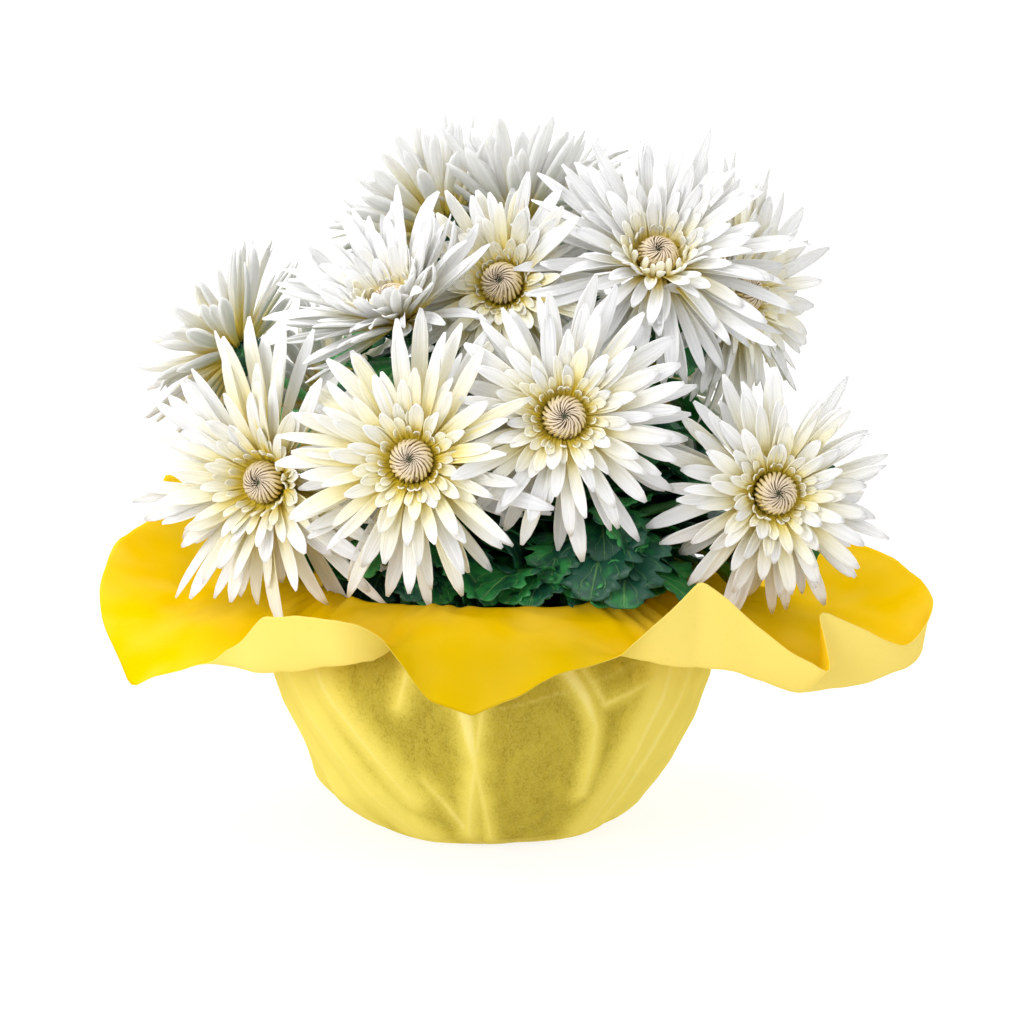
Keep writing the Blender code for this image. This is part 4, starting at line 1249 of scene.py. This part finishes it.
def sheet_surface():
    """Points of the sheet, [row, column, xyz], from its foot's middle to its cut edge, with three marks.

    The marks say how far each point belongs to the wall, how far the sheet lies double there, and how
    much painted shade it takes: from the pot where the wall lies close to it, less at the wall's left and
    right sides, and on the collar's front lobe, which hangs before the pot.
    """
    share = np.arange(SHEET_SIDES) / SHEET_SIDES
    angle = 360 * share + FINER_IN_FRONT * np.sin(FULL_TURN * (share - 0.25))
    table = np.array(COLLAR)
    edge, top, belly, sag = (
        round_off(np.interp(angle, table[:, 0], table[:, i], period=360)) for i in range(1, 5)
    )
    neck, neck_height = WALL[-1]
    radii = [np.full(SHEET_SIDES, point[0]) for point in WALL]
    heights = [np.full(SHEET_SIDES, point[1]) for point in WALL]
    radii += [neck + SHOULDER_SHARE * (belly - neck) * 1.4, belly, edge]
    heights += [(neck_height + sag) / 2 + 3, sag, top]
    stations = np.concatenate([np.arange(n) / n + k for k, n in enumerate(ROWS)] + [[len(ROWS)]])
    weights = smooth_weights(stations, len(radii))
    radius, height = weights @ np.array(radii), weights @ np.array(heights)
    station = np.broadcast_to(stations[:, None], radius.shape)
    wall = 1 - smooth(station, len(WALL) - 1.4, len(WALL) - 0.8)
    out, double, near = wall_folds(angle, radius, height)
    up, ripple = sheet_wrinkles(angle, radius, height)
    on_wall = wall * (station >= 1)
    near_neck = np.exp(-(((station - len(WALL) + 1) / 1.1) ** 2))
    depth, middle, half = LOW_BULGE
    leftward = smooth(-np.cos(np.radians(angle)), 0.5, 1.0)
    out = out + depth * leftward * np.exp(-(((height - middle) / half) ** 2))
    radius = radius + on_wall * (out + 0.6 * up * smooth(station, 1, 2)) + near_neck * ripple
    height = np.maximum(0, height + (1 - wall) * (up + near_neck * ripple))
    turn = np.radians(angle)[None, :]
    points = np.stack([radius * np.cos(turn), radius * np.sin(turn), height], axis=2) * MM
    ahead = -np.sin(turn) * np.ones(radius.shape)
    # Painted shade on the collar's front lobe, which hangs before the pot, carried in the near mark
    lobe = (1 - wall) * smooth(ahead, *LOBE_SPAN) * smooth(station, len(WALL) + 0.2, len(WALL) + 1.5)
    return points, wall, np.clip(double * wall, 0, 1), near * wall + lobe


def wall_folds(angle, radius, height):
    """How far the wall's folds stand out, where they lie double, and how close the sheet lies between them,
    which sets its painted shade; the left and right sides take little of it.
    """
    draw = random.Random("scene folds")
    folds = list(FOLDS)
    for i in range(HIDDEN_FOLDS):
        start = HIDDEN_SPAN[0] + (HIDDEN_SPAN[1] - HIDDEN_SPAN[0]) * (i + draw.random()) / HIDDEN_FOLDS
        slant, low = draw.uniform(-16, 16), draw.uniform(4, 52)
        line = ((start, 98, 0.8), (start + slant * 0.3, 72, 0.9), (start + slant, low, 0.6))
        folds.append((draw.uniform(2.2, 3.8), draw.uniform(8, 15), line))
    out, double = np.zeros(radius.shape), np.zeros(radius.shape)
    for depth, width, line in folds:
        away = np.full(radius.shape, 1e3)
        band = np.ones(radius.shape)
        for (a0, z0, b0), (a1, z1, b1) in zip(line, line[1:]):
            x = np.radians((angle - a0 + 180) % 360 - 180) * radius
            dx, dz = np.radians(a1 - a0) * radius, z1 - z0
            share = np.clip((x * dx + (height - z0) * dz) / (dx * dx + dz * dz), 0, 1)
            distance = np.hypot(x - share * dx, height - z0 - share * dz)
            nearer = distance < away
            away = np.where(nearer, distance, away)
            band = np.where(nearer, b0 + (b1 - b0) * share, band)
        out = np.maximum(out, depth * np.clip(1 - away / width, 0, 1))
        line_of_it = 1 - smooth(away, 0.6 * band, 1.2 * band + 0.8)
        double = np.maximum(double, line_of_it * np.clip(0.15 + 0.55 * band, 0, 0.9))
    # The left and right sides take painted light and little painted shade
    sides = smooth(abs(np.cos(np.radians(angle))), *PAINTED_LIGHT_SIDES)
    return out, double, (1 - 0.85 * smooth(out, 1.0, 3.4)) * (1 - 0.9 * sides)


def sheet_wrinkles(angle, radius, height):
    """Soft and sharp wrinkles all over, and the gathers that fan out from the neck."""
    turn = np.radians(angle)
    up = np.zeros(radius.shape)
    for (row, column), reach in np.ndenumerate(radius):
        x, y = reach * math.cos(turn[column]), reach * math.sin(turn[column])
        place = Vector((x, y, height[row, column]))
        soft = noise.noise(place / 30)
        sharp = abs(noise.noise(place / 17 + Vector((40, 0, 0))))
        up[row, column] = WRINKLE * (soft - 1.2 * sharp + 0.25)
    wobble = 0.25 * np.sin(turn * 3 + 1) + 0.16 * np.sin(turn * 7)
    size = 0.55 + 0.45 * np.sin(turn * 5 + 2) * np.sin(turn * 2)
    return up, GATHER_DEPTH * size * np.cos(GATHERS * (turn + wobble))


def wall_finish(name, colour, alpha):
    """Nonwoven sheet of the wall: matted fibres that let light through and show what lies behind them, with
    the pot's shade painted on in soft clouds and dark specks where the sheet lies close to it, painted light
    where it stands clear, and paler bands where it lies double, their paleness painted light.
    """
    colours = settings_of("mum_sheet")
    finish = Finish(name)
    place = finish.place()
    wall = finish.mark("tone")
    double, near = finish.mark("double"), finish.mark("near")
    drawn = finish.node("ShaderNodeMapping", None, {"Vector": place, "Scale": (1, 1, 0.55)})
    fibre = finish.noise(drawn, 1300, 2, 0.8)
    cloud = finish.noise(drawn, 170, 2, 0.6)
    # How much painted shade of the pot behind the sheet it takes, in soft clouds
    close = near * finish.ease(cloud, 0.30, 0.68, 0.45, 1.0)
    shade = finish.mix(wall, colour, colours.wall)
    # Painted light: paler where the sheet stands clear of the pot, on its fold ridges and at its left and
    # right sides
    shade = finish.mix((1 - near) * wall * 0.35, shade, colours.fold)
    # Painted shade of the dark pot behind the sheet
    shade = finish.mix(close * 0.34, shade, colours.shadow)
    # Painted shade: dark specks where the pot's shade shows between the fibres
    shade = finish.mix(finish.ease(fibre, 0.46, 0.70) * close * 0.80, shade, colours.shade_speck)
    # Paler fibres over the pot, and paler bands where the sheet lies double: a real second layer, its
    # paleness painted light
    shade = finish.mix(finish.ease(fibre, 0.48, 0.36) * near * 0.25 + double * 0.9, shade, colours.fold)
    finish.set(Base_Color=shade, Roughness=0.85, Specular_IOR_Level=0)
    finish.set(Alpha=1 - wall * (0.25 + near * 0.75) * (1 - double * 0.7) * (1 - alpha))
    finish.glow_through(*SHEET_GLOW)
    return finish


def collar_finish(name, colour):
    """Nonwoven sheet of the collar: matted fibres, a little paler in soft clouds, with painted shade where
    its front lobe hangs before the pot.
    """
    colours = settings_of("mum_sheet")
    finish = Finish(name)
    place = finish.place()
    fibre = finish.noise(place, 1100, 1, 0.7)
    cloud = finish.noise(place, 45, 1)
    lobe_shade = finish.mark("near")
    shade = finish.mix(finish.ease(cloud, 0.3, 0.75) * 0.10, colour, colours.fold)
    # Painted shade: darker where the collar's front lobe hangs before the pot
    shade = finish.mix(lobe_shade * 0.6, shade, colours.lobe)
    # Dark fibres, drawn in the colour of the wall's painted shade
    shade = finish.mix(finish.ease(fibre, 0.55, 0.8) * 0.10, shade, colours.shadow)
    finish.set(Base_Color=shade, Roughness=0.85, Specular_IOR_Level=0)
    finish.bump(fibre, 0.15, 0.2 * MM)
    finish.glow_through(*SHEET_GLOW)
    return finish


# Soil and pot


def soil_finish():
    """Dark crumbs of compost with paler bits of bark."""
    colours = settings_of("mum_ground")
    finish = Finish("soil")
    place = finish.place()
    crumbs = finish.noise(place, 260, 6, 0.7)
    bits = finish.node("ShaderNodeTexVoronoi", None, {"Vector": place, "Scale": 210})
    colour = finish.mix(finish.ease(crumbs, 0.55, 0.8), colours.soil, colours.bark)
    colour = finish.mix(finish.ease(bits, 0.16, 0.10) * 0.6, colour, (0.28, 0.20, 0.13))
    finish.set(Base_Color=colour, Roughness=0.95)
    finish.bump(crumbs - bits * 0.5, 0.9, 1.2 * MM)
    return finish


def pot_finish():
    """Dark moulded plastic, a little scuffed."""
    colours = settings_of("mum_ground")
    finish = Finish("pot")
    place = finish.place()
    scuff = finish.noise(place, 70, 5, 0.6)
    grain = finish.noise(place, 900, 3)
    colour = finish.mix(finish.ease(scuff, 0.55, 0.8) * 0.4, colours.pot, (0.12, 0.115, 0.11))
    finish.set(Base_Color=colour, Roughness=0.42 + scuff * 0.25)
    finish.bump(grain, 0.15, 0.2 * MM)
    return finish


# Operators


class MUM_OT_soil(bpy.types.Operator):
    """Make the soil's crumbly bed"""

    bl_idname = "mum.soil"
    bl_label = "Soil"

    def execute(self, context):
        low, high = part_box("soil")
        build = new_build()
        radius = high.x
        squares = {"x_segments": SOIL_GRID, "y_segments": SOIL_GRID}
        made = bmesh.ops.create_grid(build, size=radius, calc_uvs=True, **squares)["verts"]
        rim = high.z - SOIL_CROWN
        for vertex in made:
            x, y = vertex.co.x / radius, vertex.co.y / radius
            disc = Vector((x * math.sqrt(1 - y * y / 2), y * math.sqrt(1 - x * x / 2), 0)) * radius
            share = disc.length / radius
            lump = sum(noise.noise(disc * scale) * size for scale, size in SOIL_LUMPS) - SOIL_SINK
            disc.z = rim + SOIL_CROWN * (1 - share * share) + lump * MM
            vertex.co = disc
        rim_edges = [edge for edge in build.edges if edge.is_boundary]
        bottom = bmesh.ops.extrude_edge_only(build, edges=rim_edges)["geom"]
        slope = SOIL_FOOT / radius
        for vertex in only(bmesh.types.BMVert, bottom):
            vertex.co = Vector((vertex.co.x * slope, vertex.co.y * slope, low.z))
        bmesh.ops.edgeloop_fill(build, edges=only(bmesh.types.BMEdge, bottom))
        bmesh.ops.recalc_face_normals(build, faces=build.faces)
        piece_of(build, "soil_bed", [soil_finish()], ["soil"])
        return {"FINISHED"}


class MUM_OT_pot(bpy.types.Operator):
    """Give the pot its plastic"""

    bl_idname = "mum.pot"
    bl_label = "Pot"

    def execute(self, context):
        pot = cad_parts["pot"]
        pot.data.materials.clear()
        pot.data.materials.append(pot_finish().material)
        return {"FINISHED"}


class MUM_OT_sheet(bpy.types.Operator):
    """Make the sheet that is gathered round the pot"""

    bl_idname = "mum.sheet"
    bl_label = "Sheet wrap"

    def execute(self, context):
        settings = settings_of("mum_sheet")
        points, wall, double, near = sheet_surface()
        build = new_build()
        for name in ("double", "near"):
            build.verts.layers.float.new(name)
        tone = build.verts.layers.float["tone"]
        double_mark, near_mark = (build.verts.layers.float[name] for name in ("double", "near"))
        rows = len(points) - 1
        made = bmesh.ops.create_grid(build, x_segments=SHEET_SIDES, y_segments=rows, size=1, calc_uvs=True)
        for vertex in made["verts"]:
            column = round((vertex.co.x + 1) / 2 * SHEET_SIDES) % SHEET_SIDES
            row = round((vertex.co.y + 1) / 2 * rows)
            vertex[tone] = wall[row, column]
            vertex[double_mark] = double[row, column]
            vertex[near_mark] = near[row, column]
            vertex.co = points[row, column]
        bmesh.ops.remove_doubles(build, verts=build.verts, dist=0.01 * MM)
        for face in build.faces:
            on_collar = max(vertex[tone] for vertex in face.verts) == 0
            face.material_index = 2 if on_collar else 0
        finishes = [
            wall_finish("sheet wall outside", settings.outside, WALL_ALPHA[0]),
            wall_finish("sheet wall inside", settings.inside, WALL_ALPHA[1]),
            collar_finish("collar outside", settings.outside),
            collar_finish("collar inside", settings.inside),
        ]
        sheet = piece_of(build, "sheet_wrap", finishes, ["wrap"])
        GARDEN["sheet"] = tree_of(sheet)
        if sheet.data.polygons[0].normal.z > 0:
            sheet.data.flip_normals()
        thicken(sheet, settings.thickness).material_offset = 1
        return {"FINISHED"}


class MUM_OT_stems(bpy.types.Operator):
    """Make the stems and the cups under the blooms"""

    bl_idname = "mum.stems"
    bl_label = "Stems"

    def execute(self, context):
        finish = stem_finish()
        for plant in FORKS:
            GARDEN["stems"].append(tree_of(stems_of(plant, blooms_of(plant), finish)))
        return {"FINISHED"}


class MUM_OT_florets(bpy.types.Operator):
    """Make the eye of young florets in each bloom"""

    bl_idname = "mum.florets"
    bl_label = "Florets"

    def execute(self, context):
        finish = floret_finish()
        for bloom in GARDEN["blooms"]:
            GARDEN["eyes"][bloom.name] = tree_of(florets_of(bloom, finish))
        return {"FINISHED"}


class MUM_OT_petals(bpy.types.Operator):
    """Make the petals of each bloom, clear of its neighbours"""

    bl_idname = "mum.petals"
    bl_label = "Petals"

    def execute(self, context):
        finish = petal_finish()
        thickness = settings_of("mum_petals").thickness
        blooms = GARDEN["blooms"]
        for bloom in blooms:
            others = [other for other in blooms if other is not bloom]
            near = [other.name for other in others if (other.centre - bloom.centre).length < NEAR_BLOOMS]
            obstacles = [GARDEN["eyes"][name] for name in near]
            obstacles += [GARDEN["petals"][name] for name in near if name in GARDEN["petals"]]
            GARDEN["petals"][bloom.name] = petals_of(bloom, finish, obstacles, thickness)
        return {"FINISHED"}


class MUM_OT_leaves(bpy.types.Operator):
    """Make the leaves of each plant, clear of the petals, the sheet and each other"""

    bl_idname = "mum.leaves"
    bl_label = "Leaves"

    def execute(self, context):
        finish = leaf_finish()
        thickness = settings_of("mum_foliage").thickness
        trees = [GARDEN["sheet"], tree_of(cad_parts["pot"])]
        trees += [*GARDEN["petals"].values(), *GARDEN["eyes"].values(), *GARDEN["stems"]]
        leaves = []
        for plant in FORKS:
            leaves_of(plant, blooms_of(plant), finish, trees, leaves, thickness)
        return {"FINISHED"}


class MUM_OT_stage(bpy.types.Operator):
    """Make the floor, the lights and the camera"""

    bl_idname = "mum.stage"
    bl_label = "Stage"

    def execute(self, context):
        settings = settings_of("mum_stage")
        scene = context.scene
        scene.view_settings.view_transform = "Standard"
        scene.view_settings.exposure = EXPOSURE
        finish = Finish("floor")
        finish.set(Base_Color=settings.floor, Roughness=0.9)
        finish.set(Emission_Color=(1, 1, 1), Emission_Strength=settings.glow)
        away = finish.node("ShaderNodeVectorMath", {"operation": "LENGTH"}, [finish.place()], out="Value")
        finish.set(Alpha=finish.ease(away, FLOOR_FADE, FLOOR_RADIUS, 1.0, 0.0))
        build = new_build()
        bmesh.ops.create_circle(build, cap_ends=True, segments=FLOOR_SIDES, radius=FLOOR_RADIUS)
        floor = object_of(build, "floor", [finish])

        world = bpy.data.worlds.new("surround")
        world.use_nodes = True
        back = world.node_tree.nodes["Background"]
        back.inputs["Color"].default_value = (1, 1, 1, 1)
        back.inputs["Strength"].default_value = settings.surround
        scene.world = world
        self.light(scene, "key", *KEY_LIGHT, settings.key)
        self.light(scene, "side", *SIDE_LIGHT, settings.side)
        self.camera(scene)
        return {"FINISHED"}

    def light(self, scene, name, place, size, power):
        """A square soft light that looks at the plant."""
        lamp = bpy.data.lights.new(name, "AREA")
        lamp.shape = "SQUARE"
        lamp.size = size
        lamp.energy = power
        made = bpy.data.objects.new(name, lamp)
        made.location = place
        made.rotation_euler = (TARGET - place).to_track_quat("-Z", "Y").to_euler()
        scene.collection.objects.link(made)

    def camera(self, scene):
        """The camera, at the photograph's viewing angle."""
        data = bpy.data.cameras.new("camera")
        data.sensor_width = SENSOR
        data.lens = SENSOR * VIEW_DISTANCE / (IMAGE_SIDE * PIXEL)
        camera = bpy.data.objects.new("camera", data)
        rise = math.radians(VIEW_ELEVATION)
        camera.location = TARGET + Vector((0, -math.cos(rise), math.sin(rise))) * VIEW_DISTANCE
        camera.rotation_euler = (math.pi / 2 - rise, 0, 0)
        scene.collection.objects.link(camera)
        scene.camera = camera


class MUM_PT_panel(bpy.types.Panel):
    """The chrysanthemum's settings and steps"""

    bl_idname = "MUM_PT_panel"
    bl_label = "Chrysanthemum"
    bl_space_type = "VIEW_3D"
    bl_region_type = "UI"
    bl_category = "Chrysanthemum"

    def draw(self, context):
        for name, group in SETTINGS.items():
            box = self.layout.box()
            box.label(text=group.__doc__)
            for key in group.__annotations__:
                box.prop(getattr(context.scene, name), key)
        for step in STEPS:
            self.layout.operator(step.bl_idname)


STEPS = (
    MUM_OT_stage,
    MUM_OT_soil,
    MUM_OT_pot,
    MUM_OT_sheet,
    MUM_OT_stems,
    MUM_OT_florets,
    MUM_OT_petals,
    MUM_OT_leaves,
)
GARDEN = {"blooms": [], "stems": [], "eyes": {}, "petals": {}}


def register():
    """Registers the settings, the steps and the panel."""
    for name, group in SETTINGS.items():
        bpy.utils.register_class(group)
        setattr(bpy.types.Scene, name, bpy.props.PointerProperty(type=group))
    for step in STEPS:
        bpy.utils.register_class(step)
    bpy.utils.register_class(MUM_PT_panel)


def unregister():
    """Takes the settings, the steps and the panel out again."""
    bpy.utils.unregister_class(MUM_PT_panel)
    for step in reversed(STEPS):
        bpy.utils.unregister_class(step)
    for name, group in SETTINGS.items():
        delattr(bpy.types.Scene, name)
        bpy.utils.unregister_class(group)


def main():
    """Registers the add-on and runs its steps in order."""
    register()
    GARDEN["blooms"] = [Bloom(name) for name in BLOOMS]
    for step in STEPS:
        group, name = step.bl_idname.split(".")
        getattr(getattr(bpy.ops, group), name)()


if __name__ == "__main__":
    main()
